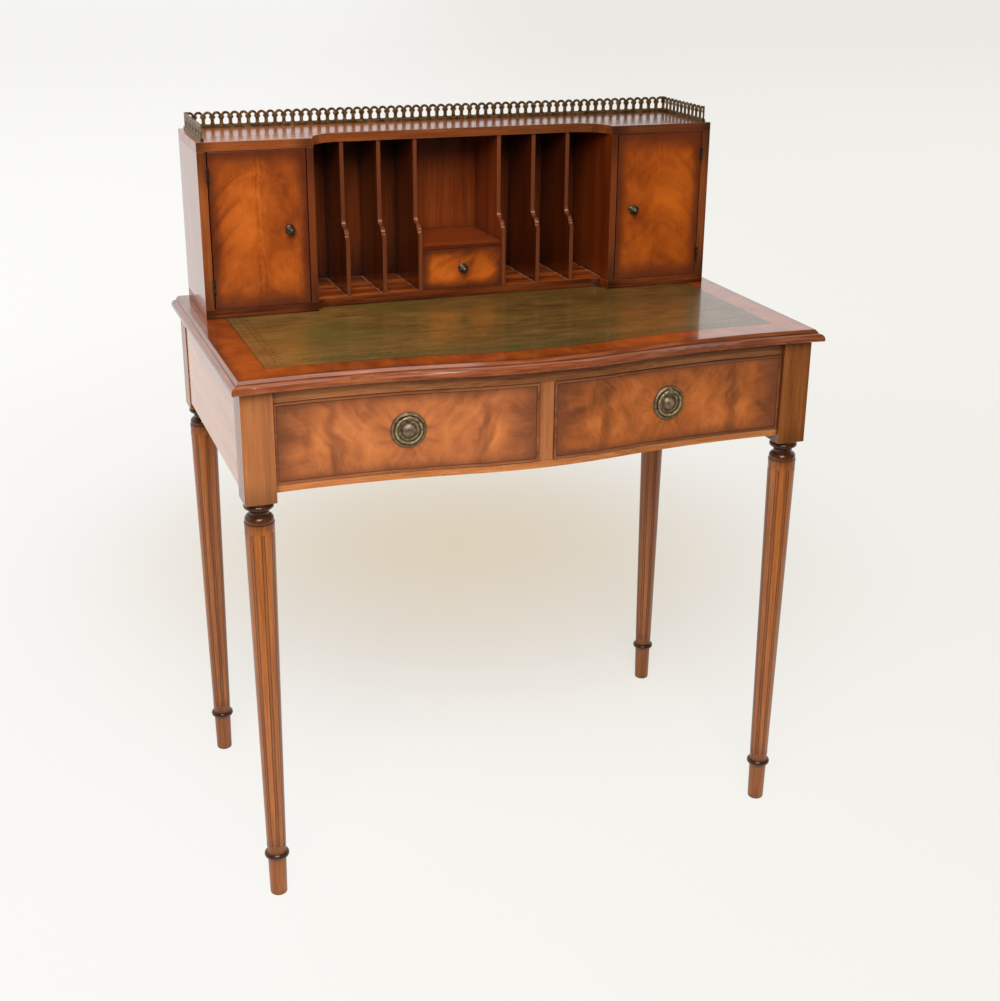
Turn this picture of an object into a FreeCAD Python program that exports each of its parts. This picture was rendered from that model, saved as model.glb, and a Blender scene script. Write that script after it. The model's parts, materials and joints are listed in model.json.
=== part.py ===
import FreeCAD, Part
import math
import os
import Sketcher
from types import SimpleNamespace

# Bonheur du jour: a small serpentine writing table that carries a low cabinet of
# two cupboards, six pigeonholes and a small drawer, with a pierced brass gallery.
# Millimetres, +Z up, the front faces -Y, origin on the floor under the middle.

SIZES = {
    # Table top
    "desk_height": 762,
    "top_width": 828,
    "top_depth": 500,
    "top_thickness": 16,
    "moulding_reach": 11.3,
    "moulding_lower": 10.6,
    "moulding_round": 7,
    "moulding_under_round": 2,
    "moulding_step": 4,
    "moulding_chamfer": 3.5,
    "leather_border": 42,
    "leather_thickness": 1.5,
    "leather_tuck": 35,
    # Serpentine line of the top's upper arris
    "crown_radius": 770,
    "hollow_radius": 1275,
    "hollow_place": 300,
    # Legs
    "leg_square": 41.4,
    "leg_overhang": 11.8,
    "leg_setback": 32.5,
    "block_drop": 11.7,
    "collar_drop": 3.8,
    "collar_thickness": 6.5,
    "collar_radius": 17.8,
    "collar_round": 3.6,
    "cove_height": 6,
    "cove_round": 6.5,
    "neck_radius": 13.2,
    "neck_height": 2.5,
    "shoulder_height": 8,
    "shoulder_round": 6.5,
    "shoulder_band": 2.5,
    "shoulder_radius": 18.8,
    "shaft_head_radius": 19.8,
    "shaft_foot_radius": 13.3,
    "ring_level": 65.4,
    "ring_thickness": 9.6,
    "ring_round": 4.85,
    "foot_head_radius": 12.9,
    "foot_radius": 12,
    "foot_round": 3.5,
    "flute_count": 8,
    "flute_radius": 2.6,
    "flute_depth": 0.9,
    "flute_head_gap": 14,
    "flute_foot_gap": 12,
    # Aprons, rails and runners
    "apron_height": 138,
    "apron_thickness": 18,
    "apron_reveal": 1.2,
    "rail_setback": 7,
    "rail_stock": 59,
    "top_rail_height": 19,
    "bottom_rail_height": 9.5,
    "muntin_width": 20,
    "runner_width": 18,
    "guide_height": 13,
    # Table drawers
    "drawer_gap": 0.5,
    "drawer_lift": 0.3,
    "drawer_back_gap": 27,
    "drawer_side": 10,
    "drawer_side_drop": 6,
    "drawer_bottom_rise": 5,
    "drawer_bottom": 5,
    "bead_width": 3.8,
    "bead_depth": 8,
    "bead_proud": 1.8,
    "bead_round": 1.6,
    # Ring pulls
    "pull_rise": 3,
    "pull_seat_gap": 0.25,
    "plate_radius": 23.8,
    "plate_edge": 1.2,
    "rim_height": 3.2,
    "rim_outer": 22,
    "rim_inner": 20.6,
    "well_level": 1.6,
    "well_outer": 19.9,
    "well_inner": 14,
    "boss_level": 2.4,
    "boss_radius": 9.8,
    "boss_height": 7,
    "loop_radius": 17,
    "loop_wire": 2,
    "loop_lift": 0.3,
    "lug_radius": 3.3,
    "lug_length": 4.4,
    "lug_clearance": 0.3,
    # Cabinet
    "cabinet_width": 775,
    "cabinet_depth": 154,
    "cabinet_height": 244.6,
    "cabinet_rear_inset": 3.5,
    "cabinet_board": 13,
    "cabinet_side": 12.5,
    "cabinet_back": 6,
    "partition_thickness": 10,
    "floor_setback": 22,
    "roof_setback": 46,
    # Pigeonholes
    "bay_width": 124.4,
    "slot_width": 48.6,
    "divider_thickness": 6,
    "divider_inset": 2.5,
    "divider_shoulder": 84,
    "divider_scroll": 25,
    "divider_nose": 5,
    "divider_hollow": 12.5,
    "shelf_rise": 60,
    "shelf_thickness": 6,
    # Small drawer
    "small_front": 9,
    "small_side": 6,
    "small_bottom": 3,
    "small_gap": 0.4,
    "small_back_gap": 8,
    # Doors and hinges
    "door_thickness": 13,
    "door_gap": 0.6,
    "door_free_gap": 1.3,
    "hinge_gap": 1.5,
    "hinge_leaf": 0.6,
    "hinge_leaf_depth": 10,
    "hinge_height": 20,
    "hinge_place": 22,
    "knuckle_radius": 1.8,
    "knuckle_clear": 0.3,
    "knuckle_end_gap": 0.1,
    "pin_radius": 0.8,
    "pin_clearance": 0.06,
    # Brass knobs
    "knob_inset": 26,
    "door_knob_rise": 106.5,
    "knob_plate_radius": 7,
    "knob_plate": 1.6,
    "knob_neck_radius": 3.2,
    "knob_neck": 4.4,
    "knob_head_radius": 6.8,
    "knob_head_round": 4.2,
    "knob_height": 14,
    # Gallery
    "gallery_height": 23.3,
    "gallery_base": 4.3,
    "gallery_base_width": 5,
    "gallery_sheet": 1.8,
    "gallery_side_inset": 9.5,
    "gallery_rear_inset": 8.5,
    "gallery_front_inset": 5,
    "gallery_back_loops": 58,
    "gallery_side_loops": 11,
    "gallery_sill": 1,
    # Overrun of every cut past the stock
    "overrun": 2,
}

# Outline of one gallery piercing, as shares of the loop's pitch and of the height above the base
PIERCING_SHARES = ((0.24, 0.0), (0.31, 0.09), (0.31, 0.36), (0.15, 0.52), (0.15, 0.59), (0.25, 0.68))
PIERCING_TOP_SHARE = 0.27
SCALLOP_RADIUS_SHARE = 0.54
SCALLOP_FLAT_SHARE = 0.12

# How near an edge has to lie to a level to count as on it
EDGE_TOLERANCE = 1e-3


class Size:
    """A length that carries its value and the sheet expression that gives it."""

    def __init__(self, value, text):
        self.value = value
        self.text = text

    @staticmethod
    def of(thing):
        return thing if isinstance(thing, Size) else Size(thing, repr(thing))

    def join(self, sign, other, value):
        return Size(value, f"({self.text} {sign} {other.text})")

    def __add__(self, other):
        other = Size.of(other)
        return self.join("+", other, self.value + other.value)

    def __sub__(self, other):
        other = Size.of(other)
        return self.join("-", other, self.value - other.value)

    def __mul__(self, other):
        other = Size.of(other)
        return self.join("*", other, self.value * other.value)

    def __truediv__(self, other):
        other = Size.of(other)
        return self.join("/", other, self.value / other.value)

    def __rmul__(self, other):
        return Size.of(other) * self

    def __neg__(self):
        return ZERO - self


ZERO = Size(0, "0")


def root(size):
    return Size(math.sqrt(size.value), f"sqrt({size.text})")


def square(size):
    return size * size


doc = FreeCAD.newDocument("bonheur_du_jour")
sheet = doc.addObject("Spreadsheet::Sheet", "sizes")
for row, (name, value) in enumerate(SIZES.items(), start=1):
    sheet.set(f"A{row}", name)
    sheet.set(f"B{row}", str(value))
    sheet.setAlias(f"B{row}", name)
doc.recompute()
d = SimpleNamespace(**{name: Size(sheet.get(name), f"sizes.{name}") for name in SIZES})
nodes = []
SIDES = (("left", -1), ("right", 1))

# Levels and planes that several pieces share
half_top = d.top_width / 2
rear = d.top_depth / 2
arris_half = half_top - d.moulding_reach
crown = d.moulding_reach - rear
top_under = d.desk_height - d.top_thickness
apron_bottom = top_under - d.apron_height
block_bottom = apron_bottom - d.block_drop
block_outer = half_top - d.leg_overhang
block_inner = block_outer - d.leg_square
block_front = d.leg_setback - rear
block_rear = rear
back_outer = block_rear - d.apron_reveal
back_inner = back_outer - d.apron_thickness
rail_rear = d.rail_stock - rear
rail_face = -d.rail_setback
half_muntin = d.muntin_width / 2
opening_low = apron_bottom + d.bottom_rail_height
opening_high = top_under - d.top_rail_height

cabinet_half = d.cabinet_width / 2
cabinet_rear = rear - d.cabinet_rear_inset
cabinet_front = cabinet_rear - d.cabinet_depth
floor_top = d.desk_height + d.cabinet_board
cabinet_top = d.desk_height + d.cabinet_height
roof_under = cabinet_top - d.cabinet_board
side_inner = cabinet_half - d.cabinet_side
back_face = cabinet_rear - d.cabinet_back
half_bay = d.bay_width / 2
slot_pitch = d.slot_width + d.divider_thickness
partition_inner = half_bay + slot_pitch * 3
partition_outer = partition_inner + d.partition_thickness
floor_front = cabinet_front + d.floor_setback
roof_front = cabinet_front + d.roof_setback
shelf_under = floor_top + d.shelf_rise

# Serpentine front: a convex crown between two hollows, all offsets concentric
radius_sum = d.crown_radius + d.hollow_radius
crown_centre = crown + d.crown_radius
centre_drop = root(square(radius_sum) - square(d.hollow_place))
hollow_centre = crown_centre - centre_drop


def crown_y(x, offset):
    return crown_centre - root(square(d.crown_radius + offset) - square(x))


def hollow_y(x, offset):
    return hollow_centre + root(square(d.hollow_radius - offset) - square(x - d.hollow_place))


def turning_point(offset):
    """Where the crown runs into the hollow, for a line offset to the front."""
    part_way = (d.crown_radius + offset) / radius_sum
    return d.hollow_place * part_way, crown_centre - centre_drop * part_way


def full_front(half, offset):
    """The whole serpentine line from left to right."""
    x, y = turning_point(offset)
    hollow = d.hollow_radius - offset
    return [
        (-half, hollow_y(half, offset)),
        (-x, y, hollow, 1),
        (x, y, d.crown_radius + offset, -1),
        (half, hollow_y(half, offset), hollow, 1),
    ]


def half_front(side, near, far, offset):
    """The serpentine line of one drawer, from the middle of the table outward."""
    x, y = turning_point(offset)
    return [
        (side * near, crown_y(near, offset)),
        (side * x, y, d.crown_radius + offset, -side),
        (side * far, hollow_y(far, offset), d.hollow_radius - offset, side),
    ]


def back_along(line):
    """The same line walked the other way."""
    turned = []
    for place in range(len(line) - 1, -1, -1):
        x, y = line[place][:2]
        if place + 1 < len(line) and len(line[place + 1]) > 2:
            radius, bulge = line[place + 1][2:]
            turned.append((x, y, radius, -bulge))
        else:
            turned.append((x, y))
    return turned


def keep(thing, label):
    thing.Label = label
    nodes.append(thing)
    return thing


def place_at(thing, x=ZERO, y=ZERO, z=ZERO):
    for axis, size in zip("xyz", (x, y, z)):
        thing.setExpression(f"Placement.Base.{axis}", size.text)


def block_of(name, x, y, z):
    """A box between x, y and z limits, bound to the sheet."""
    box = doc.addObject("Part::Box", name)
    for length, (low, high) in zip(("Length", "Width", "Height"), (x, y, z)):
        box.setExpression(length, (high - low).text)
    place_at(box, x[0], y[0], z[0])
    return box


def rod_of(name, radius, x, y, z):
    """An upright cylinder between two levels."""
    rod = doc.addObject("Part::Cylinder", name)
    rod.setExpression("Radius", radius.text)
    rod.setExpression("Height", (z[1] - z[0]).text)
    place_at(rod, x, y, z[0])
    return rod


def board(label, x, y, z):
    return keep(block_of(label, x, y, z), label)


def mirrored(side, low, high):
    """The x limits of a piece on the right, or of its twin on the left."""
    return (low, high) if side > 0 else (-high, -low)


def fused(name, pieces):
    union = doc.addObject("Part::MultiFuse", name)
    union.Shapes = pieces
    return union


def cut_from(name, base, tool):
    cut = doc.addObject("Part::Cut", name)
    cut.Base = base
    cut.Tool = tool
    return cut


def new_body(label):
    return keep(doc.addObject("PartDesign::Body", label), label)


def origin_feature(body, role):
    return next(feature for feature in body.Origin.OriginFeatures if feature.Role == role)


def arc_between(start, end, radius, bulge):
    """A counter-clockwise arc through both points; bulge 1 swells to the left of the walk."""
    chord = end - start
    half = chord.Length / 2
    rise = radius - math.sqrt(radius * radius - half * half)
    left = FreeCAD.Vector(-chord.y, chord.x, 0).normalize()
    middle = (start + end) / 2 + left * rise * bulge
    return Part.Arc(end, middle, start) if bulge > 0 else Part.Arc(start, middle, end)


def draw(sketch, loop):
    """A closed loop of lines and arcs whose points and radii are bound to the sheet."""
    first = sketch.GeometryCount
    points = [FreeCAD.Vector(corner[0].value, corner[1].value, 0) for corner in loop]
    heads = []
    for place, corner in enumerate(loop):
        start, end = points[place - 1], points[place]
        if len(corner) == 2:
            sketch.addGeometry(Part.LineSegment(start, end), False)
            heads.append((2, 1))
        else:
            sketch.addGeometry(arc_between(start, end, corner[2].value, corner[3]), False)
            heads.append((1, 2) if corner[3] > 0 else (2, 1))
    for place, corner in enumerate(loop):
        edge = first + place
        after = (place + 1) % len(loop)
        head, tail = heads[place][0], heads[after][1]
        sketch.addConstraint(Sketcher.Constraint("Coincident", edge, head, first + after, tail))
        for kind, size in zip(("DistanceX", "DistanceY"), corner[:2]):
            index = sketch.addConstraint(Sketcher.Constraint(kind, -1, 1, edge, head, size.value))
            sketch.setExpression(f"Constraints[{index}]", size.text)
        if len(corner) > 2:
            index = sketch.addConstraint(Sketcher.Constraint("Radius", edge, corner[2].value))
            sketch.setExpression(f"Constraints[{index}]", corner[2].text)


def sketch_on(body, role, level, *loops):
    sketch = body.newObject("Sketcher::SketchObject", "Sketch")
    sketch.AttachmentSupport = [(origin_feature(body, role), "")]
    sketch.MapMode = "FlatFace"
    sketch.setExpression("AttachmentOffset.Base.z", level.text)
    for loop in loops:
        draw(sketch, loop)
    return sketch


def pad(body, role, level, length, *loops):
    sketch = sketch_on(body, role, level, *loops)
    feature = body.newObject("PartDesign::Pad", "Pad")
    feature.Profile = sketch
    feature.setExpression("Length", length.text)
    return feature


def pocket_through(body, role, *loops):
    """A cut through everything on both sides of an origin plane."""
    doc.recompute()
    before = body.Shape.Volume
    sketch = sketch_on(body, role, ZERO, *loops)
    feature = body.newObject("PartDesign::Pocket", "Pocket")
    feature.Profile = sketch
    feature.Type = "ThroughAll"
    feature.SideType = "Symmetric"
    doc.recompute()
    if body.Shape.Volume >= before:
        raise RuntimeError(f"{body.Label}: the pocket cuts nothing")
    return feature


def dome(radius, height):
    """The radius of a ball whose cap has this foot radius and height."""
    return (square(radius) + square(height)) / (height * 2)


def turned(body, profile):
    """A revolution of a half profile about the body's own Z axis."""
    sketch = sketch_on(body, "XZ_Plane", ZERO, profile)
    feature = body.newObject("PartDesign::Revolution", "Revolution")
    feature.Profile = sketch
    feature.ReferenceAxis = (sketch, ["V_Axis"])
    return feature


def dress(body, kind, setting, size, chosen):
    """A fillet or chamfer on the edges of the last feature that the test picks."""
    doc.recompute()
    base = body.Tip
    picked = [f"Edge{n}" for n, edge in enumerate(base.Shape.Edges, start=1) if chosen(edge)]
    feature = body.newObject(f"PartDesign::{kind}", kind)
    feature.Base = (base, picked)
    feature.setExpression(setting, size.text)
    return feature


def at_level(edge, level):
    return all(math.isclose(vertex.Z, level.value, abs_tol=EDGE_TOLERANCE) for vertex in edge.Vertexes)


def ahead_of_rear(edge):
    """True for the front and side edges, which carry the moulding."""
    return edge.CenterOfMass.y < rear.value - EDGE_TOLERANCE


# Table top and its leather


def leather_outline():
    half = arris_half - d.leather_border
    leather_rear = cabinet_front + d.leather_tuck
    return full_front(half, -d.leather_border) + [(half, leather_rear), (-half, leather_rear)]


def top_outline(reach):
    half = arris_half + reach
    return full_front(half, reach) + [(half, rear), (-half, rear)]


def make_desk_top():
    body = new_body("desk_top")
    ledge = top_under + d.moulding_lower
    pad(body, "XY_Plane", top_under, d.moulding_lower, top_outline(d.moulding_reach))
    dress(body, "Fillet", "Radius", d.moulding_round,
          lambda edge: at_level(edge, ledge) and ahead_of_rear(edge))
    dress(body, "Fillet", "Radius", d.moulding_under_round,
          lambda edge: at_level(edge, top_under) and ahead_of_rear(edge))
    pad(body, "XY_Plane", ledge, d.desk_height - ledge, top_outline(d.moulding_step))
    dress(body, "Chamfer", "Size", d.moulding_chamfer,
          lambda edge: at_level(edge, d.desk_height) and ahead_of_rear(edge))
    sketch = sketch_on(body, "XY_Plane", d.desk_height, leather_outline())
    recess = body.newObject("PartDesign::Pocket", "Recess")
    recess.Profile = sketch
    recess.setExpression("Length", d.leather_thickness.text)
    leather = new_body("leather_top")
    pad(leather, "XY_Plane", d.desk_height - d.leather_thickness, d.leather_thickness, leather_outline())


# Legs


def leg_profile():
    ring_half = d.ring_thickness / 2
    collar_high = block_bottom - d.collar_drop
    collar_low = collar_high - d.collar_thickness
    neck_high = collar_low - d.cove_height
    neck_low = neck_high - d.neck_height
    band_high = neck_low - d.shoulder_height
    shaft_head = band_high - d.shoulder_band
    return shaft_head, [
        (ZERO, ZERO),
        (d.foot_radius - d.foot_round, ZERO),
        (d.foot_radius, d.foot_round, d.foot_round, -1),
        (d.foot_head_radius, d.ring_level - ring_half),
        (d.shaft_foot_radius, d.ring_level + ring_half, d.ring_round, -1),
        (d.shaft_head_radius, shaft_head),
        (d.shoulder_radius, shaft_head),
        (d.shoulder_radius, band_high),
        (d.neck_radius, neck_low, d.shoulder_round, -1),
        (d.neck_radius, neck_high),
        (d.collar_radius, collar_low, d.cove_round, 1),
        (d.collar_radius, collar_high, d.collar_round, -1),
        (d.collar_radius, block_bottom),
        (ZERO, block_bottom),
    ]


def cut_flutes(body, shaft_head):
    """Round-ended flutes that follow the taper, spaced evenly from the front."""
    shaft_foot = d.ring_level + d.ring_thickness / 2
    slope = (d.shaft_head_radius - d.shaft_foot_radius) / (shaft_head - shaft_foot)
    low = shaft_foot + d.flute_foot_gap
    high = shaft_head - d.flute_head_gap
    stand = d.flute_radius - d.flute_depth + d.shaft_foot_radius
    tilt = FreeCAD.Rotation(FreeCAD.Vector(1, 0, 0), math.degrees(math.atan(slope.value)))
    channel = body.newObject("PartDesign::SubtractiveCylinder", "Flute")
    channel.Placement = FreeCAD.Placement(FreeCAD.Vector(), tilt)
    channel.setExpression("Placement.Rotation.Angle", f"atan({slope.text})")
    channel.setExpression("Radius", d.flute_radius.text)
    channel.setExpression("Height", ((high - low) * root(square(slope) + 1)).text)
    place_at(channel, ZERO, -(stand + slope * d.flute_foot_gap), low)
    ends = [channel]
    for level in (low, high):
        end = body.newObject("PartDesign::SubtractiveSphere", "FluteEnd")
        end.setExpression("Radius", d.flute_radius.text)
        place_at(end, ZERO, -(stand + slope * (level - shaft_foot)), level)
        ends.append(end)
    ring = body.newObject("PartDesign::PolarPattern", "Flutes")
    ring.Originals = ends
    ring.Axis = (origin_feature(body, "Z_Axis"), [""])
    ring.setExpression("Occurrences", d.flute_count.text)
    body.Tip = ring


def make_legs():
    half = d.leg_square / 2
    corners = [(-half, -half), (half, -half), (half, half), (-half, half)]
    for end, y in (("front", block_front + half), ("rear", block_rear - half)):
        for word, side in SIDES:
            body = new_body(f"leg_{end}_{word}")
            shaft_head, profile = leg_profile()
            turned(body, profile)
            pad(body, "XY_Plane", block_bottom, top_under - block_bottom, corners)
            cut_flutes(body, shaft_head)
            place_at(body, side * (block_outer - half), y)


# Aprons, rails and runners


def make_frame():
    apron_outer = block_outer - d.apron_reveal
    apron_inner = apron_outer - d.apron_thickness
    side_run = (block_front + d.leg_square, block_rear - d.leg_square)
    apron_level = (apron_bottom, top_under)
    runner_level = (apron_bottom, opening_low)
    guide_level = (opening_low, opening_low + d.guide_height)
    for word, side in SIDES:
        board(f"side_apron_{word}", mirrored(side, apron_inner, apron_outer), side_run, apron_level)
        runner_inner = block_inner - d.runner_width
        shelf = block_of("Runner", mirrored(side, runner_inner, apron_inner), side_run, runner_level)
        guide = block_of("Guide", mirrored(side, block_inner, apron_inner), side_run, guide_level)
        keep(fused(f"side_runner_{word}", [shelf, guide]), f"side_runner_{word}")
    board("back_apron", (-block_inner, block_inner), (back_inner, back_outer), apron_level)
    half_runner = half_muntin + d.runner_width
    centre_run = (rail_rear, back_inner)
    shelf = block_of("Runner", (-half_runner, half_runner), centre_run, runner_level)
    guide = block_of("Guide", (-half_muntin, half_muntin), centre_run, guide_level)
    keep(fused("centre_runner", [shelf, guide]), "centre_runner")
    outline = full_front(block_inner, rail_face) + [(block_inner, rail_rear), (-block_inner, rail_rear)]
    pad(new_body("front_top_rail"), "XY_Plane", opening_high, d.top_rail_height, outline)
    pad(new_body("front_bottom_rail"), "XY_Plane", apron_bottom, d.bottom_rail_height, outline)
    muntin = [(-half_muntin, crown_y(half_muntin, rail_face)),
              (half_muntin, crown_y(half_muntin, rail_face), d.crown_radius + rail_face, -1),
              (half_muntin, rail_rear), (-half_muntin, rail_rear)]
    pad(new_body("drawer_divider"), "XY_Plane", opening_low, opening_high - opening_low, muntin)


# Table drawers with cockbeaded serpentine fronts


def slab(side, near, far, behind, ahead):
    """The plan of a curved slab between two offsets of the serpentine line."""
    return half_front(side, near, far, ahead) + back_along(half_front(side, near, far, behind))


def on_front(edge, offset):
    """True for the edges round a curved front, apart from the seam between crown and hollow."""
    turn = turning_point(offset)[0].value
    reach = [math.isclose(abs(vertex.X), turn, abs_tol=EDGE_TOLERANCE) for vertex in edge.Vertexes]
    return not all(reach) and all(lies_on_front(vertex, turn, offset) for vertex in edge.Vertexes)


def lies_on_front(vertex, turn, offset):
    x = Size.of(abs(vertex.X))
    line = crown_y(x, offset) if x.value < turn else hollow_y(x, offset)
    return math.isclose(vertex.Y, line.value, abs_tol=EDGE_TOLERANCE)


def make_drawer(word, side):
    name = f"drawer_{word}"
    near = half_muntin + d.drawer_gap
    far = block_inner - d.drawer_gap
    low = opening_low + d.drawer_lift
    high = opening_high - d.drawer_gap
    rebate = rail_face - d.bead_depth
    inner = (near + d.bead_width, far - d.bead_width)
    level = (low + d.bead_width, high - d.bead_width)
    front = new_body(f"{name}_front")
    rear_edge = [(side * far, rail_rear), (side * near, rail_rear)]
    pad(front, "XY_Plane", low, high - low, half_front(side, near, far, rebate) + rear_edge)
    pad(front, "XY_Plane", level[0], level[1] - level[0], slab(side, *inner, rebate, rail_face))
    bead = new_body(f"{name}_cockbead")
    pad(bead, "XY_Plane", low, high - low, slab(side, near, far, rebate, rail_face + d.bead_proud))
    window = [(side * x, z) for z, x in zip((level[0], level[0], level[1], level[1]), inner + inner[::-1])]
    pocket_through(bead, "XZ_Plane", window)
    dress(bead, "Fillet", "Radius", d.bead_round, lambda edge: on_front(edge, rail_face + d.bead_proud))
    back_end = back_inner - d.drawer_back_gap
    side_high = high - d.drawer_side_drop
    run = (rail_rear, back_end)
    board(f"{name}_outer_side", mirrored(side, far - d.drawer_side, far), run, (low, side_high))
    board(f"{name}_inner_side", mirrored(side, near, near + d.drawer_side), run, (low, side_high))
    between = mirrored(side, near + d.drawer_side, far - d.drawer_side)
    bottom_low = low + d.drawer_bottom_rise
    bottom_high = bottom_low + d.drawer_bottom
    board(f"{name}_bottom", between, run, (bottom_low, bottom_high))
    board(f"{name}_back", between, (back_end - d.drawer_side, back_end), (bottom_high, side_high))
    make_pull(word, side, (near + far) / 2, (low + high) / 2 + d.pull_rise)


def make_pull(word, side, x, z):
    """A dished plate with a lug that carries the hanging ring, square to the curved front."""
    wire_level = d.well_level + d.loop_lift + d.loop_wire
    plate = new_body(f"pull_plate_{word}")
    turned(plate, [
        (ZERO, ZERO),
        (d.plate_radius, ZERO),
        (d.plate_radius, d.plate_edge),
        (d.rim_outer, d.rim_height),
        (d.rim_inner, d.rim_height),
        (d.well_outer, d.well_level),
        (d.well_inner, d.well_level),
        (d.well_inner, d.boss_level),
        (d.boss_radius, d.boss_level),
        (ZERO, d.boss_height, dome(d.boss_radius, d.boss_height - d.boss_level), -1),
    ])
    across = FreeCAD.Rotation(FreeCAD.Vector(0, 1, 0), 90)
    bore_length = d.lug_length + d.overrun
    for kind, radius, length in (("Additive", d.lug_radius, d.lug_length),
                                 ("Subtractive", d.loop_wire + d.lug_clearance, bore_length)):
        rod = plate.newObject(f"PartDesign::{kind}Cylinder", "Lug")
        rod.Placement = FreeCAD.Placement(FreeCAD.Vector(), across)
        rod.setExpression("Radius", radius.text)
        rod.setExpression("Height", length.text)
        place_at(rod, length / -2, d.loop_radius, wire_level)
    ring = doc.addObject("Part::Torus", f"pull_ring_{word}")
    ring.setExpression("Radius1", d.loop_radius.text)
    ring.setExpression("Radius2", d.loop_wire.text)
    keep(ring, f"pull_ring_{word}")
    lean = side * math.asin((d.hollow_place.value - x.value) / (d.hollow_radius - rail_face).value)
    upright = FreeCAD.Rotation(FreeCAD.Vector(1, 0, 0), 90)
    facing = FreeCAD.Rotation(FreeCAD.Vector(0, 0, 1), math.degrees(lean)).multiply(upright)
    face_y = hollow_y(x, rail_face)
    for piece, reach in ((plate, d.pull_seat_gap), (ring, d.pull_seat_gap + wire_level)):
        piece.Placement = FreeCAD.Placement(FreeCAD.Vector(), facing)
        place_at(piece, side * x + reach * math.sin(lean), face_y - reach * math.cos(lean), z)


# Cabinet


def board_outline(setback):
    """A full-width board whose front steps back between the cupboards on hollow quarter curves."""
    turn = partition_inner - setback
    inset = cabinet_front + setback
    return [
        (-cabinet_half, cabinet_front),
        (-partition_inner, cabinet_front),
        (-turn, inset, setback, 1),
        (turn, inset),
        (partition_inner, cabinet_front, setback, 1),
        (cabinet_half, cabinet_front),
        (cabinet_half, cabinet_rear),
        (-cabinet_half, cabinet_rear),
    ]


def make_case():
    height = (floor_top, roof_under)
    for label, under, setback in (("cabinet_bottom", d.desk_height, d.floor_setback),
                                  ("cabinet_top", roof_under, d.roof_setback)):
        pad(new_body(label), "XY_Plane", under, d.cabinet_board, board_outline(setback))
    for word, side in SIDES:
        side_limits = mirrored(side, side_inner, cabinet_half)
        board(f"cabinet_side_{word}", side_limits, (cabinet_front, cabinet_rear), height)
        partition_limits = mirrored(side, partition_inner, partition_outer)
        board(f"partition_{word}", partition_limits, (cabinet_front, back_face), height)
    board("cabinet_back", (-side_inner, side_inner), (back_face, cabinet_rear), height)


def divider_profile():
    """The side view of a divider: a nosed lower front, a scrolled hollow and a set-back upper front."""
    low_face = floor_front + d.divider_inset
    high_face = roof_front + d.divider_inset
    shoulder = floor_top + d.divider_shoulder
    scroll = shoulder + d.divider_scroll
    waist_y = low_face + (high_face - low_face) / 2
    waist_z = shoulder + d.divider_scroll / 2
    return [
        (low_face, floor_top),
        (back_face, floor_top),
        (back_face, roof_under),
        (high_face, roof_under),
        (high_face, scroll),
        (waist_y, waist_z, d.divider_hollow, 1),
        (low_face + d.divider_nose, shoulder + d.divider_nose, d.divider_hollow, -1),
        (low_face, shoulder, d.divider_nose, 1),
    ]


def make_dividers():
    """Dividers numbered from the left: three on each side of the middle bay."""
    first = half_bay + slot_pitch * 2 + d.divider_thickness / 2
    places = [-first, slot_pitch - first, slot_pitch * 2 - first]
    places += [first - slot_pitch * 2, first - slot_pitch, first]
    for number, x in enumerate(places, start=1):
        body = new_body(f"pigeonhole_divider_{number}")
        pad(body, "YZ_Plane", x - d.divider_thickness / 2, d.divider_thickness, divider_profile())
    shelf_front = floor_front + d.divider_inset
    shelf_level = (shelf_under, shelf_under + d.shelf_thickness)
    board("centre_shelf", (-half_bay, half_bay), (shelf_front, back_face), shelf_level)


def make_small_drawer():
    half = half_bay - d.small_gap
    face = floor_front + d.divider_inset
    low = floor_top + d.drawer_lift
    high = shelf_under - d.small_gap
    inside = face + d.small_front
    back_end = back_face - d.small_back_gap
    inner = half - d.small_side
    bottom_high = low + d.small_bottom
    board("small_drawer_front", (-half, half), (face, inside), (low, high))
    board("small_drawer_left_side", (-half, -inner), (inside, back_end), (low, high))
    board("small_drawer_right_side", (inner, half), (inside, back_end), (low, high))
    board("small_drawer_back", (-inner, inner), (back_end - d.small_side, back_end), (bottom_high, high))
    board("small_drawer_bottom", (-inner, inner), (inside, back_end), (low, bottom_high))
    make_knob("small_drawer_knob", ZERO, face, (low + high) / 2)


def make_knob(label, x, y, z):
    """A turned brass knob on a small back plate, standing out to the front."""
    body = new_body(label)
    head_low = d.knob_plate + d.knob_neck
    head_high = head_low + d.knob_head_round
    turned(body, [
        (ZERO, ZERO),
        (d.knob_plate_radius, ZERO),
        (d.knob_plate_radius, d.knob_plate / 2),
        (d.knob_neck_radius, d.knob_plate),
        (d.knob_neck_radius, head_low),
        (d.knob_head_radius, head_high, d.knob_head_round, -1),
        (ZERO, d.knob_height, dome(d.knob_head_radius, d.knob_height - head_high), -1),
    ])
    upright = FreeCAD.Rotation(FreeCAD.Vector(1, 0, 0), 90)
    body.Placement = FreeCAD.Placement(FreeCAD.Vector(), upright)
    place_at(body, x, y, z)


# Doors on butt hinges


def make_door(word, side):
    far = side_inner - d.hinge_gap
    near = partition_outer + d.door_free_gap
    low = floor_top + d.door_gap
    high = roof_under - d.door_gap
    door_back = cabinet_front + d.door_thickness
    board(f"door_{word}", mirrored(side, near, far), (cabinet_front, door_back), (low, high))
    make_knob(f"door_knob_{word}", side * (near + d.knob_inset), cabinet_front, low + d.door_knob_rise)
    lower = low + d.hinge_place
    upper = high - d.hinge_place - d.hinge_height
    case_leaves = [case_leaf(side, foot) for foot in (lower, upper)]
    door_leaves = [door_leaf(side, far, foot) for foot in (lower, upper)]
    keep(fused(f"hinge_case_leaves_{word}", case_leaves), f"hinge_case_leaves_{word}")
    keep(fused(f"hinge_door_leaves_{word}", door_leaves), f"hinge_door_leaves_{word}")


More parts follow.
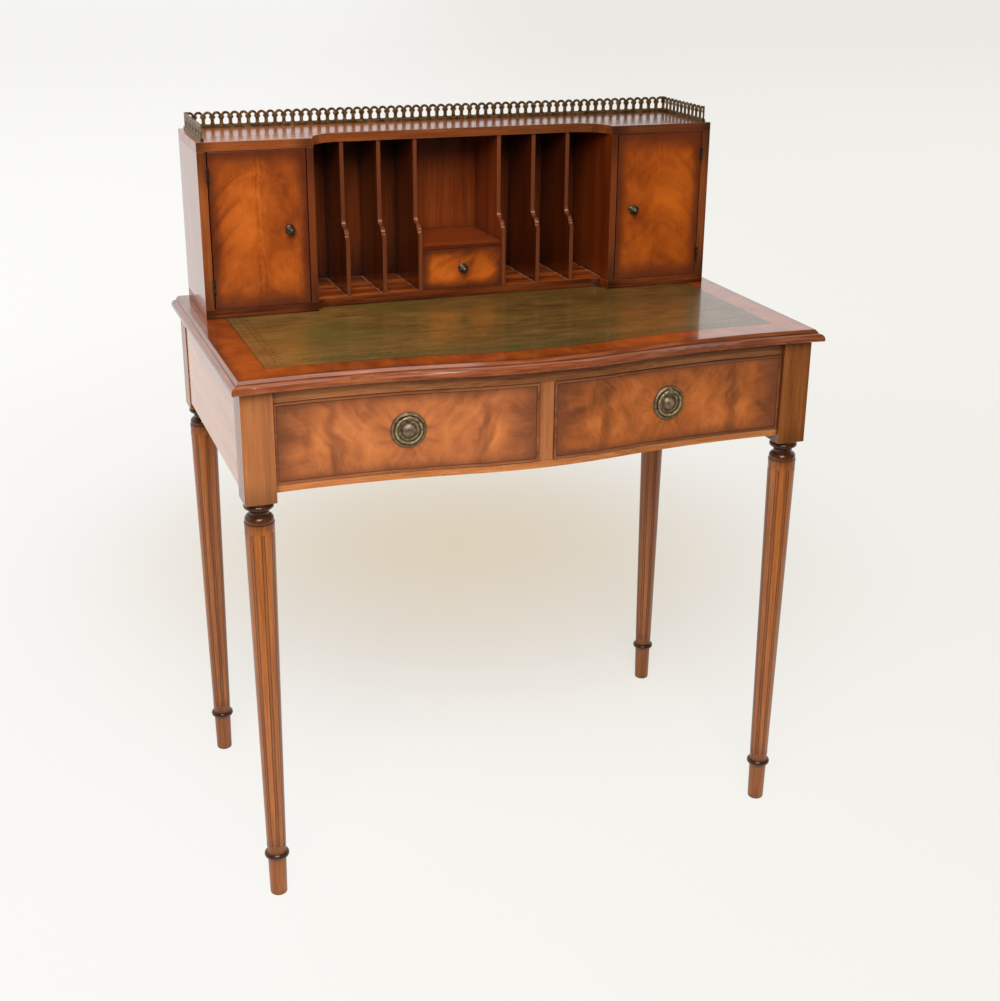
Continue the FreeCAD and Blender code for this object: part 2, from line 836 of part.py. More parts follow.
def pin_place(side):
    x = side * (side_inner - d.hinge_gap / 2)
    y = cabinet_front - d.knuckle_radius - d.knuckle_clear
    return x, y


def leaf_plates(side, inside, outside, foot, tabs):
    """A leaf in the gap between door and case, with tabs that reach forward to its knuckles."""
    x, y = pin_place(side)
    across = mirrored(side, inside, outside)
    plates = [block_of("Leaf", across, (cabinet_front, cabinet_front + d.hinge_leaf_depth),
                       (foot, foot + d.hinge_height))]
    for low, high in tabs:
        plates.append(block_of("Tab", across, (y, cabinet_front), (low, high)))
        plates.append(rod_of("Knuckle", d.knuckle_radius, x, y, (low, high)))
    return plates


def knuckle_levels(foot):
    return [foot + d.hinge_height * step / 3 for step in range(4)]


def case_leaf(side, foot):
    """The leaf on the case, with the outer knuckles and the pin."""
    low, first, second, high = knuckle_levels(foot)
    x, y = pin_place(side)
    plates = leaf_plates(side, side_inner - d.hinge_leaf, side_inner, foot, [(low, first), (second, high)])
    return fused("CaseLeaf", plates + [rod_of("Pin", d.pin_radius, x, y, (low, high))])


def door_leaf(side, far, foot):
    """The leaf on the door's edge, with the bored middle knuckle."""
    first, second = knuckle_levels(foot)[1:3]
    x, y = pin_place(side)
    tab = (first + d.knuckle_end_gap, second - d.knuckle_end_gap)
    plates = leaf_plates(side, far, far + d.hinge_leaf, foot, [tab])
    bore = rod_of("Bore", d.pin_radius + d.pin_clearance, x, y, (first - d.overrun, second + d.overrun))
    return cut_from("DoorLeaf", fused("DoorPlates", plates), bore)


# Pierced brass gallery round the back and ends of the cabinet top


def rail_outline(width, half, back, front):
    """A three-sided strip of the given width about its centre line."""
    outer, inner = half + width / 2, half - width / 2
    far, near = back + width / 2, back - width / 2
    return [
        (-outer, front), (-inner, front), (-inner, near), (inner, near),
        (inner, front), (outer, front), (outer, far), (-outer, far),
    ]


def piercing(centre, pitch, low, height):
    """One arched opening with a waist between two knops."""
    right = [(centre + pitch * across, low + height * up) for across, up in PIERCING_SHARES]
    left = [(centre - pitch * across, low + height * up) for across, up in PIERCING_SHARES]
    crown_end = left[-1] + (pitch * PIERCING_TOP_SHARE, -1)
    return right + [crown_end] + left[-2::-1]


def scallop(centre, pitch, top):
    """The dip between the tops of two neighbouring arches."""
    radius = pitch * SCALLOP_RADIUS_SHARE
    flat = pitch * SCALLOP_FLAT_SHARE
    edge = top - radius + root(square(radius) - square(flat))
    dip = top - radius + root(square(radius) - square(pitch / 2))
    over = top + d.overrun
    left = centre + flat
    right = centre + pitch - flat
    middle = centre + pitch / 2
    return [(left, over), (left, edge), (middle, dip, radius, 1), (right, edge, radius, 1), (right, over)]


def pierce(body, role, start, end, loops, base, top):
    """Equal arches along one run of the gallery."""
    pitch = (end - start) / loops
    sill = base + d.gallery_sill
    height = top - sill
    centre = start + pitch / 2
    arch = piercing(centre, pitch, sill, height)
    dip = scallop(centre, pitch, top)
    for outline, count in ((arch, loops), (dip, loops - 1)):
        feature = pocket_through(body, role, outline)
        row = body.newObject("PartDesign::LinearPattern", "Row")
        row.Originals = [feature]
        row.Direction = (feature.Profile[0], ["H_Axis"])
        row.setExpression("Length", (pitch * (count - 1)).text)
        row.setExpression("Occurrences", count.text)
        body.Tip = row


def make_gallery():
    body = new_body("gallery")
    half = cabinet_half - d.gallery_side_inset
    back = cabinet_rear - d.gallery_rear_inset
    front = cabinet_front + d.gallery_front_inset
    base = cabinet_top + d.gallery_base
    top = cabinet_top + d.gallery_height
    pad(body, "XY_Plane", cabinet_top, d.gallery_base, rail_outline(d.gallery_base_width, half, back, front))
    pad(body, "XY_Plane", base, top - base, rail_outline(d.gallery_sheet, half, back, front))
    pierce(body, "XZ_Plane", -half, half, d.gallery_back_loops, base, top)
    pierce(body, "YZ_Plane", front, back, d.gallery_side_loops, base, top)


def check_document():
    doc.recompute()
    for thing in doc.Objects:
        if "Invalid" in thing.State or "Error" in thing.State:
            raise RuntimeError(f"{thing.Label} failed to build: {thing.getStatusString()}")
    for node in nodes:
        if node.Shape.isNull() or not node.Shape.isValid():
            raise RuntimeError(f"{node.Label} has no valid shape")


def write_parts():
    os.makedirs("parts", exist_ok=True)
    for node in nodes:
        node.Shape.exportStep(os.path.join("parts", f"{node.Label}.step"))


make_desk_top()
make_legs()
make_frame()
for word, side in SIDES:
    make_drawer(word, side)
make_case()
make_dividers()
make_small_drawer()
for word, side in SIDES:
    make_door(word, side)
make_gallery()
check_document()
write_parts()
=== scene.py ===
import json
import math
from functools import reduce

import bmesh
import bpy
from mathutils import Matrix, Vector


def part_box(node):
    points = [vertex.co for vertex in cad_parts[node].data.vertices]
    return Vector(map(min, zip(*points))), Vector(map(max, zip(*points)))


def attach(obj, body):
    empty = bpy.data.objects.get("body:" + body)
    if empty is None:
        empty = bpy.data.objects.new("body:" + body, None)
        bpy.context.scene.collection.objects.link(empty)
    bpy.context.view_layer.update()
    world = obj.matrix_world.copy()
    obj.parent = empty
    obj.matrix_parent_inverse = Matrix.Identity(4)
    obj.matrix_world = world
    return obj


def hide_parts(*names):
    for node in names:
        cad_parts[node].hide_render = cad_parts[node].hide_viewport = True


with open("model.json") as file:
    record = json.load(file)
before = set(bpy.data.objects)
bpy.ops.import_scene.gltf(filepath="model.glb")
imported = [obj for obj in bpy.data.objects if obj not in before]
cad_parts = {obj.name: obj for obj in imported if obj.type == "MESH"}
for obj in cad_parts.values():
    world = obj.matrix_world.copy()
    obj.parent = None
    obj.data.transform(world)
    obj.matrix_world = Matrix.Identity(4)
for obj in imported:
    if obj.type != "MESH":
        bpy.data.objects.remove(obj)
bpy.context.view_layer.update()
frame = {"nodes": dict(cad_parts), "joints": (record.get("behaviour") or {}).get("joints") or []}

# Looks of the bonheur du jour: polished mahogany with flame veneers, a tooled leather
# writing surface and aged brass. Metres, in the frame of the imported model.

NODES = frame["nodes"]
SIDES = (("left", -1), ("right", 1))
X, Y, Z = 0, 1, 2

# Colours as display values of 0 to 255: the dark, middle and light tone of each wood and of the hide

MAHOGANY = ((112, 60, 28), (178, 108, 58), (210, 140, 84))
MUNTIN = ((98, 54, 28), (154, 94, 55), (182, 122, 78))
# The top rail's tones are darker than the bottom rail's: painted shade under the moulding
TOP_RAIL_BROWN = ((108, 63, 34), (172, 111, 68), (204, 143, 96))
RAIL_BROWN = ((118, 65, 32), (188, 116, 64), (220, 149, 92))
LEG_BROWN = ((108, 58, 23), (166, 97, 46), (196, 125, 66))
BEAD_BROWN = ((80, 41, 21), (132, 76, 43), (162, 101, 61))
CABINET_RED = ((90, 42, 18), (136, 69, 29), (168, 94, 42))
FLOOR_RED = ((94, 39, 12), (150, 67, 20), (192, 98, 38))
LINING_RED = ((76, 28, 6), (126, 51, 12), (162, 74, 22))
BACK_RED = ((74, 29, 7), (125, 54, 15), (158, 75, 25))
PALE_OAK = ((150, 112, 68), (184, 146, 98), (206, 172, 126))
# The right-hand veneers' tones are darker than the left-hand ones: painted shade
DRAWER_FLAMES = {
    "left": ((128, 75, 46), (176, 103, 58), (206, 127, 71)),
    "right": ((108, 61, 33), (158, 87, 40), (190, 111, 57)),
}
DOOR_FLAMES = {
    "left": ((86, 35, 9), (150, 69, 17), (194, 99, 30)),
    "right": ((80, 32, 4), (143, 64, 7), (181, 90, 15)),
}
SMALL_FLAME = ((92, 38, 10), (156, 72, 16), (190, 96, 24))
CROSSBAND = ((100, 42, 10), (146, 65, 15), (176, 86, 23))
MOULDING = ((88, 40, 20), (134, 70, 38), (170, 102, 62))
OLIVE = ((74, 52, 19), (106, 77, 32), (130, 98, 48))

# Each brass has a fourth colour, for its rubbed edges

PULL_BRASS = ((75, 61, 46), (125, 105, 82), (166, 148, 121), (192, 176, 143))
RING_BRASS = ((82, 68, 38), (146, 127, 82), (196, 180, 130), (226, 214, 168))
KNOB_BRASS = ((34, 28, 20), (70, 61, 47), (118, 108, 87), (166, 154, 126))
GALLERY_BRASS = ((58, 42, 27), (112, 85, 52), (156, 128, 83), (190, 166, 118))
HINGE_BRASS = ((30, 22, 14), (58, 44, 26), (96, 80, 52), (130, 112, 76))
TARNISH_AND_SHADE = (48, 36, 26)

# Rubbed edges, toner, dark marks and pale lines, with painted shade, painted light, painted sheen and painted
# glints

PLAIN_WEAR = (176, 104, 58)
BEAD_WEAR = (170, 106, 62)
VENEER_WEAR = (150, 84, 44)
MOULDING_WEAR = (188, 98, 50)
MOULDING_CHIP = (190, 84, 42)
LEG_WEAR = (176, 108, 60)
BLOCK_LIT = (178, 120, 84)
DRAWER_TONER = (104, 60, 41)
DOOR_TONER = (80, 33, 14)
SMALL_TONER = (72, 30, 14)
BAND_TONER = (88, 36, 16)
BEAD_SHADOW = (74, 36, 20)
SEAM_DARK = (40, 20, 10)
VESSEL_DARK = (70, 36, 18)
FLUTE_DARK = (80, 36, 12)
TURNING_DARK = (56, 24, 11)
HIDE_GREEN = (80, 74, 26)
HIDE_RIM = (46, 32, 16)
TOOLING_DARK = (40, 24, 10)
PARTITION_EDGE = (106, 52, 22)
EDGE_SHEEN = (105, 55, 31)
GLINT_PALE = (206, 166, 142)
CORNER_LINE_PALE = (206, 164, 132)


def srgb(red, green, blue):
    """A display colour of 0 to 255 as the linear colour that shaders use."""
    def linear(value):
        value /= 255
        return value / 12.92 if value <= 0.04045 else ((value + 0.055) / 1.055) ** 2.4
    return (linear(red), linear(green), linear(blue), 1)


class Graph:
    """The node tree of a material or world, built by short calls that return sockets."""

    def __init__(self, owner):
        owner.use_nodes = True
        self.owner = owner
        self.tree = owner.node_tree
        self.tree.nodes.clear()

    def add(self, kind, inputs=None, **settings):
        node = self.tree.nodes.new(f"ShaderNode{kind}")
        for key, value in settings.items():
            setattr(node, key, value)
        for key, value in (inputs or {}).items():
            if isinstance(value, bpy.types.NodeSocket):
                self.tree.links.new(value, node.inputs[key])
            else:
                node.inputs[key].default_value = value
        return node

    def math(self, operation, *values):
        return self.add("Math", dict(enumerate(values)), operation=operation).outputs[0]

    def fold(self, operation, values):
        """One operation over the values in turn."""
        return reduce(lambda a, b: self.math(operation, a, b), values)

    def plus(self, *values):
        return self.fold("ADD", values)

    def times(self, *values):
        return self.fold("MULTIPLY", values)

    def smaller(self, *values):
        return self.fold("MINIMUM", values)

    def larger(self, *values):
        return self.fold("MAXIMUM", values)

    def minus(self, a, b):
        return self.math("SUBTRACT", a, b)

    def size(self, value):
        return self.math("ABSOLUTE", value)

    def length(self, a, b):
        return self.math("SQRT", self.plus(self.times(a, a), self.times(b, b)))

    def total(self, *terms):
        """Sum of values, each times its weight."""
        return self.plus(*(self.times(value, weight) for value, weight in terms))

    def between(self, factor, a, b):
        """The value a at a factor of 0 and b at 1."""
        return self.plus(a, self.times(factor, self.minus(b, a)))

    def span(self, value, low, high, start=0.0, end=1.0):
        """A smooth step from start at low to end at high."""
        inputs = {0: value, 1: low, 2: high, 3: start, 4: end}
        return self.add("MapRange", inputs, interpolation_type="SMOOTHSTEP").outputs[0]

    def line(self, value, half_width):
        """1 where the value is near 0, as a soft line."""
        return self.span(self.size(value), half_width * 1.6, half_width * 0.5)

    def glow(self, u, v, centre, reach):
        """1 at a spot of two coordinates, fading to 0 at its reach."""
        du = self.times(self.minus(u, centre[0]), 1 / reach[0])
        dv = self.times(self.minus(v, centre[1]), 1 / reach[1])
        return self.span(self.length(du, dv), 1.0, 0.0)

    def join(self, x=0.0, y=0.0, z=0.0):
        return self.add("CombineXYZ", {0: x, 1: y, 2: z}).outputs[0]

    def split(self, vector):
        return self.add("SeparateXYZ", {0: vector}).outputs

    def place(self):
        """Position in the row frame, which rides with the piece."""
        return self.split(self.add("TexCoord").outputs["Object"])

    def chance(self):
        """A number from 0 to 1 that each piece has for itself."""
        return self.add("ObjectInfo").outputs["Random"]

    def noise(self, vector, detail=3.0, roughness=0.5, distortion=0.0):
        inputs = {"Vector": vector, "Scale": 1.0, "Detail": detail, "Roughness": roughness,
                  "Distortion": distortion}
        return self.add("TexNoise", inputs).outputs[0]

    def weave(self, u, v, rates, seed=0.0, detail=3.0, roughness=0.5, distortion=0.0):
        """Noise over two coordinates, at a rate per metre along each."""
        vector = self.join(self.times(u, rates[0]), self.times(v, rates[1]), seed)
        return self.noise(vector, detail, roughness, distortion)

    def sway(self, u, v, rates, seed, amount, detail=2.0):
        """Such noise centred on 0, reaching about half the amount each way."""
        return self.times(self.minus(self.weave(u, v, rates, seed, detail), 0.5), amount)

    def mottle(self, rate, detail=3.0, roughness=0.5):
        """Even noise through the piece, at a rate per metre."""
        vector = self.join(*(self.times(value, rate) for value in self.place()))
        return self.noise(vector, detail, roughness)

    def blend(self, factor, a, b, mode="MIX"):
        node = self.add("Mix", {0: factor, 6: a, 7: b}, data_type="RGBA", blend_type=mode)
        return node.outputs[2]

    def stain(self, colour, factor, tint):
        """The colour changed towards a display colour."""
        return self.blend(factor, colour, srgb(*tint))

    def shade(self, colour, share):
        """The colour times a grey share."""
        return self.blend(1.0, colour, self.join(share, share, share), "MULTIPLY")

    def darken(self, colour, amount):
        """The colour less an amount of its light."""
        return self.shade(colour, self.minus(1.0, amount))

    def tones(self, factor, palette, half_range=0.15):
        """Dark, middle and light colour round a factor of one half."""
        node = self.add("ValToRGB", {0: factor})
        elements = node.color_ramp.elements
        elements.new(0.5)
        for element, place, colour in zip(elements, (0.5 - half_range, 0.5, 0.5 + half_range), palette):
            element.position = place
            element.color = srgb(*colour)
        return node.outputs[0]

    def crevice(self, distance, samples=6):
        """1 in the open and towards 0 in corners and recesses."""
        return self.add("AmbientOcclusion", {"Distance": distance}, samples=samples).outputs["AO"]

    def arris(self, radius, samples=4):
        """Towards 1 on the edges of the piece."""
        rounded = self.add("Bevel", {"Radius": radius}, samples=samples).outputs[0]
        flat = self.add("NewGeometry").outputs["Normal"]
        likeness = self.add("VectorMath", {0: rounded, 1: flat}, operation="DOT_PRODUCT").outputs["Value"]
        return self.span(likeness, 0.995, 0.80)

    def bump(self, height, distance, strength):
        return self.add("Bump", {"Height": height, "Distance": distance, "Strength": strength}).outputs[0]

    def finish(self, colour, roughness, constants, normal=None):
        inputs = {"Base Color": colour, "Roughness": roughness, **constants}
        if normal is not None:
            inputs["Normal"] = normal
        shader = self.add("BsdfPrincipled", inputs)
        self.add("OutputMaterial", {0: shader.outputs[0]})
        return self.owner


def material_graph(name):
    return Graph(bpy.data.materials.new(name))


# Wood


def polish(coat, roughness, ior=1.2):
    """Shader constants of a clear coat over a body of its own index."""
    return {"Coat Weight": coat, "Coat Roughness": roughness, "Coat IOR": 1.5, "IOR": ior}


POLISH = polish(1.0, 0.09)
ROOF_POLISH = polish(0.88, 0.17)
THIN_POLISH = polish(0.6, 0.12)
SATIN = polish(0.4, 0.22)
HIDE_WAX = polish(0.8, 0.12, 1.35)
RAW = {"IOR": 1.3}

GRAIN_ORDER = {"x": (X, Y, Z), "y": (Y, X, Z), "z": (Z, X, Y)}
GRAIN_SHIFT = 7.0
VESSELS_ALONG, VESSELS_ACROSS = 140, 1500
EDGE_WEAR = 0.0014
CORNER_REACH = 0.018
# Span across which painted shade darkens the wood towards the right
SHADE_LEFT_X, SHADE_RIGHT_X = -0.36, 0.40
TONED_REACH, TONED_DEPTH = 0.030, 0.60


def grain_axes(g, axis):
    """Position along the grain, across it and through it, shifted for each piece."""
    here = g.place()
    along, across, through = (here[index] for index in GRAIN_ORDER[axis])
    return g.plus(along, g.times(g.chance(), GRAIN_SHIFT)), across, through


def fibres(g, along, across, through, length, width):
    """Noise drawn out along the grain."""
    vector = g.join(g.times(along, 1 / length), g.times(across, 1 / width), g.times(through, 1 / width))
    return g.noise(vector, 4.0, 0.55, 0.4)


def pores(g, along, across, through):
    """Towards 1 in the short dark vessels of open-grained wood."""
    sides = (g.times(value, VESSELS_ACROSS) for value in (across, through))
    return g.span(g.noise(g.join(g.times(along, VESSELS_ALONG), *sides), 1.0), 0.62, 0.74)


def shaded_and_worn(g, colour, corner_shade, wear, reach=CORNER_REACH):
    """Painted shade in the corners and recesses, and paler, rubbed edges."""
    colour = g.shade(colour, g.span(g.crevice(reach), 0.2, 0.95, 1 - corner_shade, 1.0))
    patches = g.span(g.mottle(18), 0.42, 0.66, 0.06, 0.36)
    return g.stain(colour, g.times(g.arris(EDGE_WEAR), patches), wear)


def slope(g, axis):
    """How far the surface faces an axis, from -1 to 1."""
    return g.split(g.add("NewGeometry").outputs["Normal"])[axis]


def facing(g, axis, low, high):
    """A smooth step in the slope of the surface towards an axis."""
    return g.span(slope(g, axis), low, high)


def front_facing(g):
    """1 on the surfaces of the fixed boards that face the sitter."""
    return facing(g, Y, -0.5, -0.8)


def lit_left_side(g, colour):
    """The outer face on the left, painted paler by painted light from the left."""
    return g.shade(colour, g.plus(1.0, g.times(facing(g, X, -0.7, -0.9), 0.55)))


def toned_places(g, colour, places):
    """Toner sprayed darker on the front edge at some distances from the middle of the desk."""
    wide = g.size(g.place()[X])
    front = front_facing(g)
    for place in places:
        near = g.span(g.size(g.minus(wide, place)), 0.0, TONED_REACH, TONED_DEPTH, 0.0)
        colour = g.darken(colour, g.times(front, near))
    return colour


def straight_wood(name, axis, palette, finish, corner_shade=0.5, wear=PLAIN_WEAR, reach=CORNER_REACH, right_shade=1.0,
                  contrast=0.22, toned=(), last_coat=None):
    """Plain wood with the grain along one axis, darker towards the right by a share of painted shade, with
    painted shade in its corners.
    """
    g = material_graph(name)
    axes = grain_axes(g, axis)
    bands = fibres(g, *axes, 0.35, 0.022)
    streaks = fibres(g, *axes, 0.09, 0.0028)
    own_tone = g.minus(g.chance(), 0.5)
    colour = g.tones(g.total((bands, 0.55), (streaks, 0.45), (own_tone, 0.05)), palette, contrast)
    vessel = pores(g, *axes)
    colour = g.stain(colour, g.times(vessel, 0.35), palette[0])
    colour = g.shade(colour, g.span(g.place()[X], SHADE_LEFT_X, SHADE_RIGHT_X, 1.0, right_shade))
    if toned:
        colour = toned_places(g, colour, toned)
    colour = shaded_and_worn(g, colour, corner_shade, wear, reach)
    if last_coat:
        colour = last_coat(g, colour)
    normal = g.bump(g.times(vessel, -1.0), 0.0001, 0.2)
    return g.finish(colour, g.span(streaks, 0.3, 0.7, 0.32, 0.44), finish, normal)


# Flame veneers


def panel_place(g, node):
    """Offset from the middle of an upright panel, and distance to its nearest side and end."""
    low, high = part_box(node)
    middle = (low + high) / 2
    x, _, z = g.place()
    from_side = g.smaller(g.minus(x, low.x), g.minus(high.x, x))
    from_end = g.smaller(g.minus(z, low.z), g.minus(high.z, z))
    return g.minus(x, middle.x), g.minus(z, middle.z), from_side, from_end


def toned_edges(g, colour, from_side, from_end, reach, drift, toner, strength=0.9):
    """Dark toner sprayed towards the edges of a panel."""
    off_side = g.span(g.plus(from_side, drift), 0.0, reach[0], 1 - strength, 1.0)
    off_end = g.span(g.plus(from_end, drift), 0.0, reach[1], 1 - strength, 1.0)
    return g.stain(colour, g.minus(1.0, g.times(off_side, off_end)), toner)


def veneer_finish(g, colour, figure):
    colour = shaded_and_worn(g, colour, 0.6, VENEER_WEAR, 0.007)
    return g.finish(colour, g.span(figure, 0.3, 0.7, 0.30, 0.40), POLISH)


# Centre and reach of the patches of a drawer's figure, out from the pull and up
DRAWER_LOBE = ((0.055, -0.002), (0.075, 0.066))
DRAWER_BAND = ((0.098, -0.004), (0.016, 0.090))
DRAWER_TUFT = ((0.118, -0.014), (0.028, 0.034))
DRAWER_TONER_REACH = (0.036, 0.019)
FOLD_ROUNDING = 0.00004
BEAD_WIDTH = 0.0038
BEAD_SHADOW_WIDTH = 0.0016


def fanned_figure(g, side, out, up, drift, seed):
    """Rays round the pull, feathers further out and level grain at the ends, with fine hairs."""
    reach = g.length(out, up)
    angle = g.math("ARCTAN2", g.plus(up, g.times(drift, 0.8), 0.004), out)
    rays = g.weave(angle, reach, (3.4, 16), seed, 5.0, 0.6)
    lean = g.plus(out, g.times(up, -0.45), g.times(up, up, -3.0), drift)
    feathers = g.weave(lean, up, (70, 15), seed + 1, 6.0, 0.66)
    level = g.weave(side, g.plus(up, drift), (9, 48), seed + 2, 4.0, 0.6)
    hairs = g.weave(lean, up, (520, 36), seed + 4)
    figure = g.between(g.span(reach, 0.026, 0.070), rays, feathers)
    return g.between(g.span(out, 0.112, 0.140), figure, level), hairs


def drawer_flame(name, node, seed, palette):
    """Crotch veneer that fans out from the pull, with a bright feather and a dark band each side."""
    g = material_graph(name)
    side, up, from_side, from_end = panel_place(g, node)
    out = g.math("SQRT", g.plus(g.times(side, side), FOLD_ROUNDING))
    drift = g.plus(g.sway(side, up, (14, 18), seed, 0.050), g.sway(side, up, (60, 60), seed, 0.012, 3.0))
    figure, hairs = fanned_figure(g, side, out, up, drift, seed)
    clouds = g.weave(side, up, (28, 24), seed + 3, 3.0, 0.55, 0.8)
    drifted = g.plus(out, drift)
    lobes = g.glow(drifted, up, *DRAWER_LOBE)
    tuft = g.glow(drifted, up, *DRAWER_TUFT)
    band = g.glow(g.plus(out, g.times(drift, 0.6)), up, *DRAWER_BAND)
    ends = g.span(out, 0.118, 0.165)
    tone = g.total((figure, 0.42), (clouds, 0.30), (hairs, 0.08), (lobes, 0.09), (tuft, 0.10), (band, -0.11),
                   (ends, -0.05))
    colour = g.tones(g.plus(tone, 0.05), palette)
    colour = toned_edges(g, colour, from_side, from_end, DRAWER_TONER_REACH, g.times(drift, 0.3),
                         DRAWER_TONER, 0.72)
    from_edge = g.smaller(from_side, from_end)
    beside_bead = g.span(from_edge, BEAD_WIDTH + BEAD_SHADOW_WIDTH, BEAD_WIDTH, 0.0, 0.7)
    return veneer_finish(g, g.stain(colour, beside_bead, BEAD_SHADOW), figure)


# Centre and reach of the patches of a door's figure, outward from the spine and up
DOOR_SUN = ((0.024, 0.012), (0.056, 0.118))
DOOR_EMBER = ((-0.026, -0.060), (0.030, 0.040))
DOOR_TONER_REACH = (0.019, 0.033)
DOOR_CURL_DROOP = 11.0
DOOR_CURL_LINES = (0.084, 0.048, 0.018)
# How strongly the figure of each door is drawn
DOOR_DRAWN = {"left": 1.0, "right": 0.5}


def door_marks(g, up, off, curl, outer, clouds, seed):
    """Dark lines beside the spine, herringbone across it and the edges of the curls."""
    out = g.size(off)
    spine = g.times(g.line(g.minus(out, 0.0040), 0.0018), g.span(clouds, 0.40, 0.55, 0.2, 0.9))
    herring = g.weave(g.plus(up, g.times(out, 1.4)), off, (150, 90), seed + 3, 3.0, 0.6)
    marks = g.total((spine, 0.05), (g.times(g.line(out, 0.0065), g.minus(herring, 0.44)), -0.22))
    for place in DOOR_CURL_LINES:
        gap = g.minus(curl, place)
        above = g.times(g.span(gap, 0.0, 0.016, 1.0, 0.0), g.span(gap, -0.001, 0.002))
        edge = g.total((g.line(gap, 0.0016), 0.05), (above, 0.05))
        marks = g.plus(marks, g.times(edge, outer, g.span(out, 0.014, 0.036)))
    return marks


def door_flame(name, node, outward, seed, palette, drawn):
    """Crotch veneer with an upright spine, drooping curls on the outer half and cross fire on the inner."""
    g = material_graph(name)
    side, up, from_side, from_end = panel_place(g, node)
    wander = g.sway(up, seed, (34, 1.0), 0.0, 0.014, 4.0)
    off = g.plus(g.times(side, outward), wander, 0.001)
    outer = g.span(off, -0.008, 0.008)
    drift = g.plus(g.sway(off, up, (16, 16), seed, 0.040), g.sway(off, up, (70, 70), seed, 0.008, 3.0))
    lift = g.plus(up, drift)
    curl = g.plus(up, g.times(off, off, DOOR_CURL_DROOP), g.times(drift, 0.25))
    curls = g.weave(curl, off, (44, 12), seed, 6.0, 0.66)
    slant = g.minus(lift, g.times(off, 1.4))
    cross = g.weave(slant, g.plus(up, off), (30, 20), seed + 1, 6.0, 0.64)
    figure = g.between(outer, cross, curls)
    clouds = g.weave(off, up, (26, 22), seed + 2, 3.0, 0.5, 0.8)
    hairs = g.weave(off, up, (620, 22), seed)
    dusk = g.span(g.minus(lift, g.times(off, 0.9)), -0.02, 0.10)
    tone = g.total((figure, 0.25), (clouds, 0.26), (hairs, 0.10), (g.glow(off, lift, *DOOR_SUN), 0.11),
                   (g.glow(off, lift, *DOOR_EMBER), 0.06), (dusk, -0.02))
    marks = door_marks(g, up, off, curl, outer, clouds, seed)
    colour = g.tones(g.plus(tone, 0.195, g.times(marks, -drawn)), palette)
    colour = toned_edges(g, colour, from_side, from_end, DOOR_TONER_REACH, g.times(drift, 0.4), DOOR_TONER)
    return veneer_finish(g, colour, figure)


SMALL_FIRE = ((0.034, -0.003), (0.034, 0.034))
SMALL_TONER_REACH = (0.016, 0.016)


def small_flame(name, node, seed):
    """Veneer with slanting fire either side of the knob."""
    g = material_graph(name)
    side, up, from_side, from_end = panel_place(g, node)
    drift = g.sway(side, up, (30, 30), seed, 0.024, 3.0)
    slant = g.plus(g.minus(g.times(side, 0.8), up), drift)
    figure = g.weave(slant, g.plus(side, up), (95, 22), seed, 6.0, 0.68)
    clouds = g.weave(side, up, (40, 45), seed + 1)
    fire = g.glow(g.size(side), g.plus(up, drift), *SMALL_FIRE)
    left = g.span(side, 0.010, -0.020)
    tone = g.total((figure, 0.36), (clouds, 0.36), (fire, 0.09), (left, 0.05))
    colour = g.tones(g.plus(tone, 0.10), SMALL_FLAME)
    colour = toned_edges(g, colour, from_side, from_end, SMALL_TONER_REACH, g.times(drift, 0.4), SMALL_TONER)
    return veneer_finish(g, colour, figure)


# Table top, with a serpentine front: a crown between two hollows


CROWN_RADIUS = 0.770
HOLLOW_RADIUS = 1.275
HOLLOW_PLACE = 0.300
MOULDING_REACH = 0.0113
LEATHER_BORDER = 0.042

TOP_LOW, TOP_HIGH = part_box("desk_top")
ARRIS_HALF = TOP_HIGH.x - MOULDING_REACH
CROWN_CENTRE_Y = TOP_LOW.y + MOULDING_REACH + CROWN_RADIUS
RADIUS_SUM = CROWN_RADIUS + HOLLOW_RADIUS
HOLLOW_CENTRE_Y = CROWN_CENTRE_Y - math.sqrt(RADIUS_SUM ** 2 - HOLLOW_PLACE ** 2)
TURNING_X = HOLLOW_PLACE * CROWN_RADIUS / RADIUS_SUM

REAR_EDGE_Y = TOP_HIGH.y - 0.003
FLAT_Z = TOP_HIGH.z - 0.0004
CHIPS_LOW_Z, CHIPS_HIGH_Z = TOP_LOW.z + 0.0012, TOP_LOW.z + 0.0040


def front_distance(g, x, y):
    """Distance behind the serpentine line of the top's arris."""
    wide = g.size(x)
    crown = g.minus(CROWN_RADIUS, g.length(x, g.minus(y, CROWN_CENTRE_Y)))
    hollow = g.minus(g.length(g.minus(wide, HOLLOW_PLACE), g.minus(y, HOLLOW_CENTRE_Y)), HOLLOW_RADIUS)
    return g.between(g.math("GREATER_THAN", wide, TURNING_X), crown, hollow)


def border_place(g, inset):
    """Run along the border of the top, and distance inward from it, with mitred corners."""
    x, y, _ = g.place()
    from_front = g.minus(front_distance(g, x, y), inset)
    from_side = g.minus(ARRIS_HALF - inset, g.size(x))
    on_front = g.math("LESS_THAN", from_front, from_side)
    return g.between(on_front, y, x), g.smaller(from_front, from_side)


def crossband(g, run, inward, cross):
    """Veneer with the grain across the border, toned towards its outer edge and the seam of the leather."""
    clouds = g.weave(run, inward, (30, 26), 0.0, 2.0)
    band = g.tones(g.total((cross, 0.40), (clouds, 0.60)), CROSSBAND, 0.20)
    edge = g.span(g.plus(inward, g.times(g.minus(clouds, 0.5), 0.012)), 0.0, 0.014, 0.6, 0.0)
    seam = g.line(g.minus(inward, LEATHER_BORDER), 0.0007)
    return g.stain(g.stain(band, edge, BAND_TONER), g.times(seam, 0.8), SEAM_DARK)


